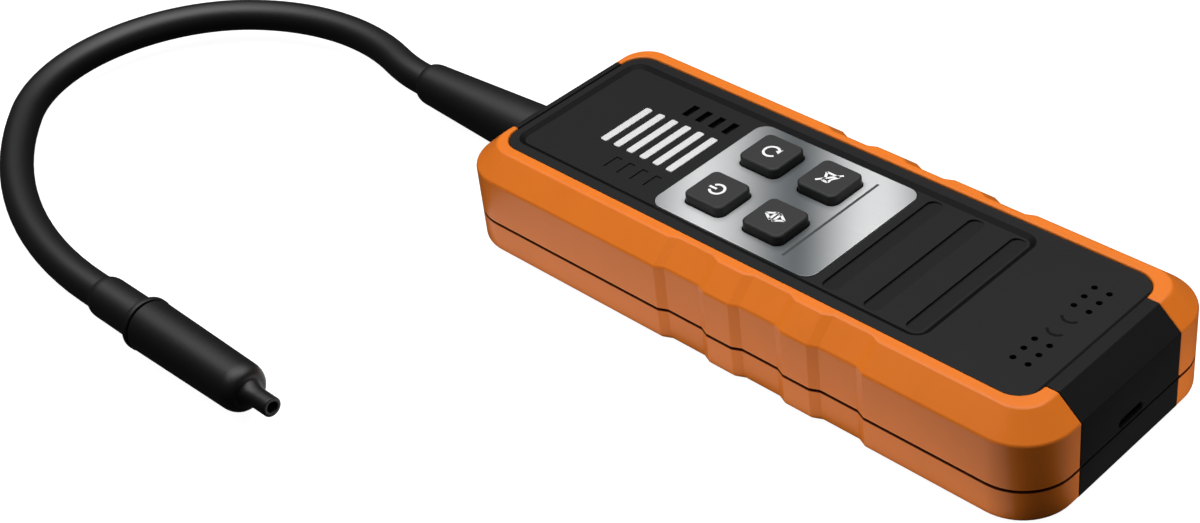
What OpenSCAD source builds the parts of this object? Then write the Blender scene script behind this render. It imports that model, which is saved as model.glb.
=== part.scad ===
// Handheld refrigerant leak detector: a two-part case in soft side grips, a recessed front panel
// with a keypad plate, and a bendable neck that carries a sensor probe with a pull-off cap.
// The back lies on z = 0, +X runs to the charging end, and +Y is the right-hand side.

/* [Case] */
// Length of the case
body_l = 177.5; // [172:0.5:200]
// Width of the case
body_w = 69; // [68:0.5:80]
// Height of the case, from its back to the top of the lip
body_h = 27.4; // [27:0.1:31]
// Plan radius of the case corners
corner_r = 13; // [12:0.25:15]
// How far the sloped shoulder runs in from the side
slope_in = 6; // [5.5:0.1:6.5]
// How far the sloped shoulder drops from the lip
slope_drop = 5.4; // [4.6:0.1:6]
// Bevel of the edge round the back
base_bevel = 1.2; // [0.8:0.1:1.8]
// Height of the parting line above the back
parting_z = 9.3; // [9:0.1:9.6]
// Height of the groove at the parting line
parting_gap = 0.6; // [0.2:0.05:0.8]
// Depth of that groove in the hard end bands
parting_depth = 1; // [0.5:0.1:1.5]
// Thickness of the soft grips over the housing
grip_t = 2; // [1.6:0.1:2.3]
// Wall of the housing shells
wall = 2; // [1.6:0.1:2.3]
// Thickness of the housing floor
floor_t = 1.6; // [1.2:0.1:1.8]
// How far the lower grips reach in over the back
back_in = 7; // [6:0.25:8]
// Width of the hard band left bare at both ends
band_w = 37; // [34:0.5:40]

/* [Finger recesses] */
// Recesses along each side
recess_count = 3; // [1:1:4]
// Length of one recess, ramps included
recess_l = 15.7; // [10:0.1:18]
// Distance from one recess to the next
recess_pitch = 23.4; // [20:0.1:26]
// Depth of a recess
recess_depth = 1.1; // [0.5:0.1:1.4]
// Length of the ramp at each end of a recess
recess_ramp = 2.5; // [1.5:0.1:4]
// Start of the first recess, from the neck end of the case
recess_start = 69.35; // [50:0.05:80]

/* [Front panel] */
// Gap from the panel to the charging end of the case
panel_in_socket = 9.5; // [9:0.1:12]
// Gap from the panel to the neck end of the case
panel_in_neck = 7.6; // [7:0.1:10]
// Width of the panel
panel_w = 50.7; // [49:0.1:52]
// Corner radius of the panel
panel_r = 6; // [5:0.1:8]
// Thickness of the panel
panel_t = 3; // [2.6:0.1:3.4]
// How far the panel lies below the lip
panel_drop = 0.4; // [0:0.05:0.8]
// Seam round the panel
seam = 0.2; // [0.1:0.05:0.4]
// Width of the ledge under the panel
ledge_w = 2.5; // [2:0.1:3.5]
// Thickness of that ledge
ledge_t = 1.6; // [1.2:0.1:2]
// Width of the sunken tray in the panel
tray_w = 45; // [44:0.1:47]
// Depth of the tray
tray_depth = 0.7; // [0.4:0.05:0.9]
// Run of the sloped wall round the tray
tray_slope = 1.5; // [0.5:0.1:2]
// Corner radius of the tray
tray_r = 4; // [3:0.1:6]
// Gap from the tray to the neck edge of the panel
tray_in_neck = 1.9; // [1.5:0.1:3]
// Gap from the tray to the socket edge of the panel
tray_in_socket = 29.6; // [24:0.1:32]

/* [Thumb steps and speaker holes] */
// Thumb steps across the tray
step_count = 3; // [1:1:3]
// Length of a step across the tray
step_w = 40.6; // [30:0.1:41]
// Run of one step along the tray
step_l = 4.4; // [4.2:0.1:6]
// Depth of a step at its deep edge
step_depth = 0.6; // [0.3:0.05:0.8]
// Corner radius of a step
step_r = 1.8; // [0.5:0.1:2]
// Distance from one step to the next
step_pitch = 11.9; // [8:0.1:12]
// Gap from the last step to the socket end of the tray
step_in = 2.1; // [1.8:0.1:4]
// Speaker holes in each half of a row
speaker_half = 3; // [2:1:4]
// Diameter of a speaker hole
speaker_d = 1.5; // [1.2:0.1:2.4]
// Distance between speaker holes
speaker_pitch = 3.85; // [3:0.05:4.2]
// Distance of the first speaker hole from the middle
speaker_first = 7.2; // [1.8:0.1:8]
// Distance between the two rows
speaker_rows = 3.9; // [3:0.1:5]
// Gap from the outer row to the socket edge of the panel
speaker_in = 6.8; // [5:0.1:8]

/* [Indicator] */
// Number of light bars
bar_count = 6; // [3:1:6]
// Length of a light bar across the panel
bar_w = 17; // [10:0.1:20]
// Width of a light bar
bar_l = 2.2; // [1.5:0.1:3]
// Distance from one bar to the next
bar_pitch = 4.48; // [4:0.02:4.6]
// Centre of the first bar, from the neck edge of the panel
bar_start = 20; // [16:0.1:21]
// How far the bars stand above the tray
bar_proud = 0.15; // [0:0.05:0.4]
// Thickness of the base that joins the bars
guide_t = 1; // [0.8:0.1:1.5]
// Margin of that base round the bars
guide_margin = 1.2; // [1:0.1:2]
// Slots beside the bars, on each side
slot_count = 4; // [1:1:4]
// Length of a slot across the panel
slot_w = 5; // [3:0.1:6]
// Width of a slot
slot_l = 2; // [1.2:0.1:2.6]
// Depth of the slots on the right-hand side
slot_depth = 1.3; // [0.6:0.1:1.6]
// Depth of the slots on the left-hand side
left_slot_depth = 0.3; // [0.1:0.1:1.6]
// Gap from a bar's end to its slot
slot_gap = 3.1; // [2:0.1:4]

/* [Keypad] */
// Length of the keypad plate
plate_l = 50; // [48:0.1:52]
// Width of the keypad plate
plate_w = 41.4; // [38:0.1:42]
// Thickness of the keypad plate
plate_t = 0.6; // [0.4:0.05:0.8]
// Corner radius of the keypad plate
plate_r = 3.5; // [2.5:0.1:5]
// How deep the plate is let into the tray
plate_sunk = 0.35; // [0.2:0.05:0.4]
// Start of the plate, from the neck edge of the panel
plate_start = 47.7; // [47.5:0.1:49]
// Side of a button
button_w = 12; // [10:0.1:13]
// Corner radius of a button
button_r = 2; // [1.6:0.1:4]
// Bevel round the top of a button
button_bevel = 0.4; // [0.3:0.05:1.2]
// How far a button stands above the plate
button_h = 2.6; // [2:0.1:3.5]
// Button centres along the case
button_pitch_x = 18.3; // [17.5:0.1:19]
// Button centres across the case
button_pitch_y = 19.5; // [18.5:0.1:20.5]
// Centre of the first pair of buttons, from the neck edge of the plate
button_start = 12.4; // [12:0.1:13.5]
// How far a button travels
button_travel = 0.8; // [0.5:0.05:1]
// Clearance round a button
button_gap = 0.3; // [0.2:0.05:0.4]
// Width of the flange that holds a button in
flange_w = 1; // [0.8:0.1:1.5]
// Thickness of that flange
flange_t = 1; // [0.8:0.1:1.4]
// Rest gap between a flange and the panel
flange_gap = 0.1; // [0.05:0.05:0.2]

/* [Neck] */
// Height of the neck's middle line above the back
neck_z = 8.6; // [8.5:0.1:9]
// Diameter of the bendable neck
neck_d = 9; // [8:0.1:9.4]
// Length of the tapered boot outside the case
boot_l = 52; // [45:0.5:56]
// Diameter of the boot at the case
boot_d = 17; // [14:0.1:17]
// Length of the boot's straight root
boot_root_l = 1.5; // [1:0.5:20]
// Diameter of the boot at the foot of its rounded end
boot_tip_d = 12; // [11:0.1:13]
// Length of that rounded end
boot_tip_l = 3.5; // [3:0.1:6]
// Wall of the boot at its very end
boot_lip = 0.3; // [0.2:0.05:0.6]
// Diameter of the boot in the case wall
boot_neck_d = 11.4; // [11:0.1:12]
// Diameter of the boot's flange inside the case
boot_flange_d = 12.6; // [12.4:0.1:13]
// Thickness of that flange
boot_flange_t = 1.6; // [1.2:0.1:2]
// Straight stretch of the neck past the boot
neck_lead = 0.5; // [0.5:0.5:20]
// Straight stretch of the neck after the last bend
neck_tail = 6; // [1:0.5:30]
// How far the neck reaches past the nut inside the case
neck_inside = 3; // [1:0.5:5]
// Thickness of the nut that holds the neck
nut_t = 4; // [3:0.1:5]
// Size of that nut across its flats
nut_af = 10.8; // [10.4:0.1:11.2]

/* [Neck bends] */
// Radius of the first bend, which leads away from the probe
lead_bend_r = 59; // [40:1:100]
// Angle of that bend
lead_bend_angle = 15.6; // [0:0.2:20]
// Radius of the bend after it
wide_bend_r = 67; // [60:1:80]
// Angle of that bend
wide_bend_angle = 49; // [45:0.2:55]
// Radius of the bend across the end of the loop
end_bend_r = 52; // [48:1:70]
// Angle of that bend
end_bend_angle = 52.4; // [48:0.2:56]
// Radius of the bend back towards the case
back_bend_r = 43; // [40:1:60]
// Angle of that bend
back_bend_angle = 49.2; // [45:0.2:54]
// Radius of the last bend, which brings the probe in line with the case
last_bend_r = 118; // [105:1:140]

/* [Probe] */
// Length of the sleeve behind the probe collar
sleeve_l = 16.5; // [14:0.5:24]
// Diameter of the sleeve at its thin end
sleeve_tip_d = 9.8; // [9.6:0.1:10.2]
// Diameter of the sleeve
sleeve_d = 11; // [10.4:0.1:11.4]
// Length of the rounding at the thin end of the sleeve
sleeve_tip_l = 2.5; // [2:0.1:5]
// Diameter of the collar ring
ring_d = 14; // [13.8:0.1:15]
// Length of the collar ring, flare included
ring_l = 2.7; // [2.4:0.1:6]
// Length of that flare
flare_l = 1.2; // [0.8:0.1:1.6]
// Diameter of the spigot that the cap slides on
spigot_d = 10.6; // [10:0.1:11]
// Length of the spigot
spigot_l = 12; // [10:0.5:16]
// Clearance between the spigot and the cap
cap_gap = 0.3; // [0.2:0.05:0.4]
// Diameter of the cap at the collar
cap_d = 13.6; // [13.2:0.1:14]
// Diameter of the cap at its shoulder
cap_tip_d = 12.5; // [12:0.1:13]
// Length of the cap's barrel
barrel_l = 35.5; // [32:0.5:45]
// Length of the cap's shoulder
shoulder_l = 8; // [7:0.5:10]
// Length of the hollow turn from the shoulder into the nozzle
hollow_l = 4; // [2:0.1:5]
// Depth of that hollow turn
hollow_r = 1.3; // [0.8:0.1:2]
// Length of the nozzle
nozzle_l = 4.5; // [3:0.1:8]
// Diameter of the nozzle
nozzle_d = 5; // [4.4:0.1:5.5]
// Diameter of the hole through the nozzle
nozzle_bore = 2.8; // [2:0.1:3.2]
// Groove between the collar ring and the cap
cap_groove = 0.5; // [0.3:0.1:0.8]
// Diameter of the sensor
sensor_d = 8.2; // [7:0.1:9]
// Length of the sensor
sensor_l = 6; // [4:0.1:7]
// Diameter of the mouth in the sensor's face
sensor_mouth_d = 5.8; // [4:0.1:6.4]
// Depth of that mouth
sensor_mouth = 1; // [0.5:0.1:2]
// Thickness of the filter disc
filter_t = 1.6; // [1:0.1:2]
// Thickness of the seal ring
seal_d = 1.5; // [1.2:0.1:1.6]
// Centre of the seal ring, from the foot of the spigot
seal_in = 4; // [2:0.1:8]

/* [Inside] */
// Width of the circuit board
board_w = 38; // [36:0.5:40]
// Thickness of the circuit board
board_t = 1.6; // [1.2:0.1:2]
// Height of the board's underside above the back
board_z = 12.9; // [12.8:0.1:13.2]
// Gap from the socket end of the board to the end wall
board_gap = 0.5; // [0.3:0.1:2]
// Gap from the neck end of the board to the end wall
board_in_neck = 16; // [14:0.5:20]
// Side of a key switch
switch_w = 6; // [5:0.1:7]
// Height of a key switch
switch_h = 4.6; // [4:0.1:5]
// Height of a key switch's body, without its plunger
switch_body_h = 3.2; // [2.5:0.1:3.8]
// Diameter of a key switch's plunger
plunger_d = 3.4; // [3:0.1:4]
// Width of the charging socket
socket_w = 8.9; // [8.5:0.1:9.2]
// Height of the charging socket
socket_h = 3.2; // [3:0.1:3.4]
// Length of the charging socket
socket_l = 7.4; // [7:0.1:9]
// Wall of the charging socket's shell
socket_wall = 0.3; // [0.25:0.05:0.4]
// Thickness of the charging socket's closed end
socket_back = 1.2; // [0.8:0.1:2]
// Width of the tongue in the charging socket
tongue_w = 6; // [5:0.1:7]
// Thickness of that tongue
tongue_t = 0.6; // [0.4:0.05:0.8]
// How far that tongue stops short of the mouth
tongue_in = 0.6; // [0.3:0.1:1.5]
// Thickness of the skin in front of the socket
socket_skin = 1.2; // [0.8:0.1:1.6]
// Diameter of the buzzer
buzzer_d = 14; // [12:0.5:16]
// Height of the buzzer
buzzer_h = 5; // [4:0.5:6]
// Diameter of the buzzer's sound hole
buzzer_hole_d = 2; // [1.5:0.1:3]
// Depth of that sound hole
buzzer_hole = 2.5; // [1:0.1:3]
// Length of the battery
battery_l = 60; // [40:1:80]
// Width of the battery
battery_w = 34; // [30:1:40]
// Thickness of the battery
battery_t = 8; // [6:0.5:9]
// Corner radius of the battery
battery_r = 2; // [1:0.5:4]
// Side of the processor
chip_w = 10; // [8:0.5:14]
// Thickness of the processor
chip_t = 1.4; // [1:0.1:2]
// Length of an indicator lamp
led_l = 2.8; // [2:0.1:3.2]
// Width of an indicator lamp
led_w = 3.5; // [2:0.1:5]
// Height of an indicator lamp
led_h = 1.9; // [1.2:0.1:2.5]

/* [Fasteners] */
// Diameter of the case screws
screw_d = 2.5; // [2:0.1:3]
// Diameter of a case screw's head
screw_head_d = 4.6; // [4:0.1:5]
// Height of a case screw's head
screw_head_h = 1.6; // [1.2:0.1:2]
// How deep a case screw's head sits below the back
screw_sunk = 0.8; // [0.4:0.1:1]
// How far a case screw reaches past the parting line
screw_reach = 7; // [5:0.5:9]
// Diameter of the bosses for the case screws
boss_d = 6.6; // [6.2:0.1:7]
// Boss centres, from the end of the case
boss_in_x = 15; // [14.5:0.5:17]
// Boss centres, from the side of the case
boss_in_y = 11.2; // [11:0.1:11.5]
// Diameter of the board screws
board_screw_d = 2.2; // [1.8:0.1:2.5]
// Diameter of a board screw's head
board_screw_head = 4.2; // [3.6:0.1:4.6]
// Height of a board screw's head
board_screw_h = 1.5; // [1:0.1:2]
// How far a board screw reaches into its post
board_screw_reach = 4; // [3:0.1:5]
// Diameter of the posts under the board
post_d = 5; // [4.5:0.1:6]
// Distance of the posts from the board's edges
post_in = 4; // [3.5:0.1:6]
// Clearance round a screw
screw_gap = 0.1; // [0.05:0.05:0.2]
// Clearance round a screw's head
head_gap = 0.2; // [0.1:0.05:0.3]
// Span of the cross recess in a screw's head
cross_span = 2.2; // [1.6:0.1:2.6]
// Width of an arm of that cross
cross_w = 0.6; // [0.4:0.05:0.9]
// Depth of that cross
cross_depth = 0.8; // [0.5:0.05:0.9]

/* [Hidden] */
$fn = 48;
// Overlap that lets a cut pass cleanly through a face
cut = 1;
// Segments in a quarter of a rounded edge
edge_steps = 6;
// Lean of the bevel round the back
base_angle = 45;
// Sides of the neck's tube, and the turn from one of its rings to the next
neck_sides = 20;
neck_step = 6;
// Bends of the neck in the plane of its exit: radius, and turn with left positive
last_bend_angle = 180 + lead_bend_angle - wide_bend_angle - end_bend_angle - back_bend_angle;
bends = [[lead_bend_r, -lead_bend_angle], [wide_bend_r, wide_bend_angle], [end_bend_r, end_bend_angle],
  [back_bend_r, back_bend_angle], [last_bend_r, last_bend_angle]];

half_l = body_l / 2;
half_w = body_w / 2;
crease_z = body_h - slope_drop;
slope_len = sqrt(slope_in * slope_in + slope_drop * slope_drop);
slope_nx = slope_drop / slope_len;
slope_nz = slope_in / slope_len;
end_wall = grip_t + wall;

panel_top = body_h - panel_drop;
panel_z = panel_top - panel_t;
panel_l = body_l - panel_in_socket - panel_in_neck;
panel_neck_x = -half_l + panel_in_neck;
panel_socket_x = half_l - panel_in_socket;
panel_x = (panel_neck_x + panel_socket_x) / 2;
tray_z = panel_top - tray_depth;
tray_l = panel_l - tray_in_neck - tray_in_socket;
tray_socket_x = panel_socket_x - tray_in_socket;
tray_x = tray_socket_x - tray_l / 2;

bar_x0 = panel_neck_x + bar_start;
plate_x0 = panel_neck_x + plate_start;
plate_z = tray_z - plate_sunk;
plate_top = plate_z + plate_t;
button_x0 = plate_x0 + button_start;
button_top = plate_top + button_h;
flange_top = panel_z - flange_gap;
flange_z = flange_top - flange_t;

board_top = board_z + board_t;
board_x0 = -half_l + end_wall + board_in_neck;
board_x1 = half_l - end_wall - board_gap;
switch_top = board_top + switch_h;
foot_z = switch_top + button_travel + flange_gap;
socket_x1 = half_l - socket_skin;
socket_z = board_z - socket_h;
boss_x = half_l - boss_in_x;
boss_y = half_w - boss_in_y;
buzzer_x = panel_socket_x - speaker_in - speaker_rows / 2;

spigot_x = ring_l + cap_groove;
seal_x = spigot_x + seal_in;
cap_l = barrel_l + shoulder_l + nozzle_l;
bulge_l = shoulder_l - hollow_l;
cap_bore = spigot_d + 2 * cap_gap;
filter_x = spigot_x + spigot_l + sensor_l + cap_gap;
boot_wall_gap = 0.15;
boot_bore = neck_d + 2 * screw_gap;
neck_run = boot_l + neck_lead;

// Section of a rounded end, from radius r0 at height z0 to radius r1 at height z1
function round_end(r0, r1, z0, z1) = [for (i = [0:edge_steps]) let (a = 90 * i / edge_steps)
  [r1 + (r0 - r1) * cos(a), z0 + (z1 - z0) * sin(a)]];
// Height at which the side and the slope meet, with both set in by d
function knee_z(d) = crease_z - d * (1 - slope_nx) / slope_nz;
// Place on the slope, set in by d, at height z, from the centre of a corner
function slope_x(d, z) = corner_r + (slope_nz * (crease_z - z) - d) / slope_nx;
// Heading and place of the neck at the start of bend i
function heading(i) = i == 0 ? 180 : heading(i - 1) + bends[i - 1][1];
function turn_side(i) = sign(bends[i][1]) * bends[i][0];
function across(a) = [-sin(a), cos(a)];
function bend_centre(i) = bend_point(i) + turn_side(i) * across(heading(i));
function bend_point(i) = i == 0 ? [-half_l - neck_run, 0]
  : bend_centre(i - 1) - turn_side(i - 1) * across(heading(i));
tail_start = bend_point(len(bends));
// Middle line of the neck: place in plan and heading at each ring of the tube
function bend_ring(i, t) =
  let (h = heading(i) + t * bends[i][1], p = bend_centre(i) - turn_side(i) * across(h)) [p[0], p[1], h];
neck_start_x = -half_l + end_wall + boot_flange_t + nut_t + neck_inside;
neck_path = concat([[neck_start_x, 0, heading(0)]],
  [for (i = [0:len(bends) - 1]) let (n = ceil(abs(bends[i][1]) / neck_step))
    for (k = [0:n - 1]) bend_ring(i, k / n)],
  [for (d = [0, neck_tail + sleeve_l]) [tail_start[0] + d, tail_start[1], heading(len(bends))]]);
function neck_point(p, a) = let (side = across(p[2]) * cos(a) * neck_d / 2)
  [p[0] + side[0], p[1] + side[1], neck_z + sin(a) * neck_d / 2];
probe_start = [tail_start[0] + neck_tail, tail_start[1], neck_z];
collar_start = probe_start + [sleeve_l, 0, 0];

// Block with a rounded plan. The child is the section of its rim, drawn from x = 0 at the centre
// of a corner to x = r at the outside, and from z0 to z1 at x = 0.
module round_block(l, w, r, z0, z1) {
  x = l / 2 - r;
  y = w / 2 - r;
  translate([-x, -y, z0]) cube([2 * x, 2 * y, z1 - z0]);
  for (turn = [0, 180]) rotate(turn) {
    translate([-x, y, 0]) rotate([90, 0, 90]) linear_extrude(2 * x) children();
    translate([x, y, 0]) rotate([90, 0, 0]) linear_extrude(2 * y) children();
    translate([x, y, 0]) rotate_extrude(angle = 90) children();
    translate([-x, y, 0]) rotate(90) rotate_extrude(angle = 90) children();
  }
}

// Plate with a rounded plan and straight edges
module round_plate(l, w, r, z0, z1) {
  round_block(l, w, r, z0, z1) translate([0, z0]) square([r, z1 - z0]);
}

// Axis along +X, starting at point p
module along_x(p) {
  translate(p) rotate([0, 90, 0]) children();
}

// Outer form of the case, before it is divided
module case_form() {
  round_block(body_l, body_w, corner_r, 0, body_h)
    polygon([[0, 0], [corner_r - base_bevel, 0], [corner_r, base_bevel], [corner_r, crease_z],
      [corner_r - slope_in, body_h], [0, body_h]]);
}

// One finger recess in the +Y side: cuts into the side, the sloped shoulder and the back's bevel
module finger_recess() {
  face_cut(body_h / 2, 0);
  face_cut(crease_z, atan2(slope_nz, slope_nx));
  face_cut(base_bevel, -base_angle);
}

// Cut into a face that leans by an angle about the line at height z on the side
module face_cut(z, angle) {
  lead = cut * recess_ramp / recess_depth;
  share = cos(angle);
  translate([0, half_w, z]) rotate([angle, 0, 0]) translate([0, 0, -body_h]) linear_extrude(2 * body_h)
    polygon([[-lead, cut * share], [recess_ramp, -recess_depth * share],
      [recess_l - recess_ramp, -recess_depth * share], [recess_l + lead, cut * share]]);
}

module finger_recesses() {
  for (side = [0, 1]) mirror([0, side, 0]) for (i = [0:recess_count - 1])
    translate([-half_l + recess_start + i * recess_pitch, 0, 0]) finger_recess();
}

// Hard core under the grips
module core_form() {
  r = corner_r - grip_t;
  top = body_h - grip_t;
  round_block(body_l - 2 * grip_t, body_w - 2 * grip_t, r, 0, top)
    polygon([[0, 0], [corner_r - back_in, 0], [corner_r - back_in, grip_t], [r, grip_t],
      [r, knee_z(grip_t)], [slope_x(grip_t, top), top], [0, top]]);
}

// Hollow inside the housing
module cavity() {
  r = corner_r - end_wall;
  top = panel_z - ledge_t;
  step_x = corner_r - back_in - wall;
  round_block(body_l - 2 * end_wall, body_w - 2 * end_wall, r, floor_t, top)
    polygon([[0, floor_t], [step_x, floor_t], [step_x, grip_t + floor_t], [r, grip_t + floor_t],
      [r, knee_z(end_wall)], [slope_x(end_wall, top), top], [0, top]]);
}

// Room for the panel, with its seam
module panel_well() {
  translate([panel_x, 0, 0])
    round_plate(panel_l + 2 * seam, panel_w + 2 * seam, panel_r + seam, panel_z, body_h + cut);
}

// The bare bands at both ends
module band_zone() {
  translate([-body_l, -band_w / 2, -cut]) cube([2 * body_l, band_w, body_h + 2 * cut]);
}

// Half-space from height z0 to z1
module layer(z0, z1) {
  translate([-body_l, -body_w, z0]) cube([2 * body_l, 2 * body_w, z1 - z0]);
}

module housing_form() {
  core_form();
  intersection() {
    case_form();
    band_zone();
  }
}

// Groove round the hard bands at the parting line
module parting_groove() {
  half = parting_gap / 2;
  difference() {
    layer(parting_z - half, parting_z + half);
    round_plate(body_l - 2 * parting_depth, body_w - 2 * parting_depth, corner_r - parting_depth,
      parting_z - parting_gap, parting_z + parting_gap);
  }
}

// Hole for the boot in the neck end, with room inside for its flange and nut
module boot_hole() {
  along_x([-half_l - cut, 0, neck_z])
    cylinder(d = boot_neck_d + 2 * boot_wall_gap, h = end_wall + 2 * cut);
  along_x([-half_l + end_wall, 0, neck_z])
    cylinder(d = boot_flange_d + 2 * boot_wall_gap, h = back_in);
}

module at_bosses() {
  for (x = [-boss_x, boss_x], y = [-boss_y, boss_y]) translate([x, y, 0]) children();
}

module at_posts() {
  for (x = [board_x0 + post_in, board_x1 - post_in - socket_l], s = [-1, 1])
    translate([x, s * (board_w / 2 - post_in), 0]) children();
}

module upper_housing() color([0.11, 0.11, 0.115]) {
  difference() {
    union() {
      difference() {
        housing_form();
        cavity();
      }
      at_bosses() translate([0, 0, parting_z]) cylinder(d = boss_d, h = panel_z - parting_z);
    }
    layer(-cut, parting_z);
    panel_well();
    translate([panel_x, 0, 0]) round_plate(panel_l - 2 * ledge_w, panel_w - 2 * ledge_w,
      panel_r - ledge_w, panel_z - ledge_t - cut, panel_z + cut);
    parting_groove();
    boot_hole();
    at_bosses() translate([0, 0, -cut])
      cylinder(d = screw_d + 2 * screw_gap, h = parting_z + screw_reach + 2 * cut);
    socket_opening();
  }
}

// Mouth of the charging socket in the end wall, and the pocket behind it
module socket_opening() {
  mouth_h = socket_h - 2 * socket_wall;
  mid_z = socket_z + socket_h / 2;
  translate([half_l - 2 * end_wall, -socket_w / 2 - seam, socket_z - seam])
    cube([2 * end_wall - socket_skin + seam, socket_w + 2 * seam, socket_h + 2 * seam]);
  translate([half_l - end_wall, 0, mid_z]) rotate([90, 0, 90]) linear_extrude(end_wall + cut)
    slot_shape(socket_w, mouth_h);
}

// Flat slot with round ends
module slot_shape(w, h) {
  square([w - h, h], center = true);
  for (s = [-1, 1]) translate([s * (w - h) / 2, 0]) circle(d = h);
}

module lower_housing() color([0.11, 0.11, 0.115]) {
  difference() {
    union() {
      difference() {
        housing_form();
        cavity();
      }
      at_bosses() translate([0, 0, floor_t / 2]) cylinder(d = boss_d, h = parting_z - floor_t / 2);
      at_posts() translate([0, 0, floor_t / 2]) cylinder(d = post_d, h = board_z - floor_t / 2);
    }
    difference() {
      layer(parting_z, body_h + cut);
      at_posts() translate([0, 0, parting_z - cut]) cylinder(d = post_d, h = board_z - parting_z + cut);
    }
    parting_groove();
    boot_hole();
    at_bosses() translate([0, 0, -cut]) {
      cylinder(d = screw_d + 2 * screw_gap, h = parting_z + 2 * cut);
      cylinder(d = screw_head_d + 2 * head_gap, h = cut + screw_sunk + screw_head_h);
    }
    at_posts() translate([0, 0, board_z - board_screw_reach - cut])
      cylinder(d = board_screw_d + 2 * screw_gap, h = board_screw_reach + 2 * cut);
  }
}

// Soft grip on the +Y side, between heights z0 and z1
module grip(z0, z1) {
  difference() {
    case_form();
    finger_recesses();
    core_form();
    band_zone();
    panel_well();
    translate([0, -body_w, 0]) layer(-2 * cut, body_h + 2 * cut);
    layer(-2 * cut, z0);
    layer(z1, body_h + 2 * cut);
  }
}

module upper_grip() {
  grip(parting_z + parting_gap / 2, body_h + cut);
}

module lower_grip() {
  grip(-cut, parting_z - parting_gap / 2);
}

module left_upper_grip() color([0.91, 0.44, 0.12]) mirror([0, 1, 0]) upper_grip();
module right_upper_grip() color([0.91, 0.44, 0.12]) upper_grip();
module left_lower_grip() color([0.91, 0.44, 0.12]) mirror([0, 1, 0]) lower_grip();
module right_lower_grip() color([0.91, 0.44, 0.12]) lower_grip();

module at_buttons() {
  for (i = [0, 1], s = [-1, 1])
    translate([button_x0 + i * button_pitch_x, s * button_pitch_y / 2, 0]) children();
}

// Holes for the four buttons, between heights z0 and z1
module button_holes(z0, z1) {
  side = button_w + 2 * button_gap;
  at_buttons() round_plate(side, side, button_r + button_gap, z0, z1);
}

// Light bars, grown by a clearance, between heights z0 and z1
module bars(gap, z0, z1) {
  for (i = [0:bar_count - 1])
    translate([bar_x0 + i * bar_pitch - bar_l / 2 - gap, -bar_w / 2 - gap, z0])
      cube([bar_l + 2 * gap, bar_w + 2 * gap, z1 - z0]);
}

module front_panel() color([0.16, 0.16, 0.165]) {
  difference() {
    translate([panel_x, 0, 0]) round_plate(panel_l, panel_w, panel_r, panel_z, panel_top);
    tray();
    translate([plate_x0 + plate_l / 2, 0, 0]) round_plate(plate_l + 2 * seam, plate_w + 2 * seam,
      plate_r + seam, plate_z, panel_top);
    button_holes(panel_z - cut, panel_top);
    bars(screw_gap, panel_z - cut, panel_top);
    side_slots();
    thumb_steps();
    speaker_holes();
  }
}

// Sunken tray with sloped walls
module tray() {
  translate([tray_x, 0, 0]) round_block(tray_l, tray_w, tray_r, tray_z, panel_top + cut)
    polygon([[0, tray_z], [tray_r - tray_slope, tray_z], [tray_r, panel_top],
      [tray_r, panel_top + cut], [0, panel_top + cut]]);
}

// Slots on both sides of the last bars
module side_slots() {
  first = bar_count - slot_count;
  for (s = [0, 1]) mirror([0, s, 0]) for (i = [first:bar_count - 1])
    let (depth = s == 0 ? slot_depth : left_slot_depth)
      translate([bar_x0 + i * bar_pitch - slot_l / 2, bar_w / 2 + slot_gap, tray_z - depth])
        cube([slot_l, slot_w, depth + cut]);
}

// Thumb steps: each sinks at its neck edge and ramps back up
module thumb_steps() {
  for (i = [0:step_count - 1])
    translate([tray_socket_x - step_in - step_l / 2 - i * step_pitch, 0, tray_z]) intersection() {
      round_plate(step_l, step_w, step_r, -step_depth, step_depth);
      translate([-step_l / 2, step_w / 2, 0]) rotate([90, 0, 0]) linear_extrude(step_w)
        polygon([[0, -step_depth], [step_l, 0], [step_l, step_depth], [0, step_depth]]);
    }
}

module speaker_holes() {
  for (row = [0, 1], s = [-1, 1], i = [0:speaker_half - 1])
    translate([panel_socket_x - speaker_in - row * speaker_rows,
      s * (speaker_first + i * speaker_pitch), panel_z - cut])
      cylinder(d = speaker_d, h = panel_t + 2 * cut, $fn = 24);
}

module keypad_plate() color([0.72, 0.73, 0.74]) {
  difference() {
    translate([plate_x0 + plate_l / 2, 0, 0])
      round_plate(plate_l, plate_w, plate_r, plate_z, plate_top);
    button_holes(plate_z - cut, plate_top + cut);
  }
}

// One button: a bevelled cap, the flange that holds it in, and a foot over its switch
module button(i, s) {
  translate([button_x0 + i * button_pitch_x, s * button_pitch_y / 2, 0]) {
    round_block(button_w, button_w, button_r, flange_z, button_top)
      polygon([[0, flange_z], [button_r, flange_z], [button_r, button_top - button_bevel],
        [button_r - button_bevel, button_top], [0, button_top]]);
    round_plate(button_w + 2 * flange_w, button_w + 2 * flange_w, button_r + flange_w,
      flange_z, flange_top);
    translate([0, 0, foot_z]) cylinder(d = plunger_d, h = flange_top - foot_z);
  }
}

module power_button() color([0.15, 0.15, 0.15]) button(0, -1);
module reset_button() color([0.15, 0.15, 0.15]) button(0, 1);
module sensitivity_button() color([0.15, 0.15, 0.15]) button(1, -1);
module mute_button() color([0.15, 0.15, 0.15]) button(1, 1);

module light_guide() color([0.95, 0.95, 0.95]) {
  span = (bar_count - 1) * bar_pitch + bar_l + 2 * guide_margin;
  bars(0, panel_z - guide_t, tray_z + bar_proud);
  translate([bar_x0 - bar_l / 2 - guide_margin, -bar_w / 2 - guide_margin, panel_z - guide_t])
    cube([span, bar_w + 2 * guide_margin, guide_t]);
}

module indicator_leds() color([0.9, 0.9, 0.85]) {
  for (i = [0:bar_count - 1])
    translate([bar_x0 + i * bar_pitch - led_l / 2, -led_w / 2, board_top]) cube([led_l, led_w, led_h]);
}

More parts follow.
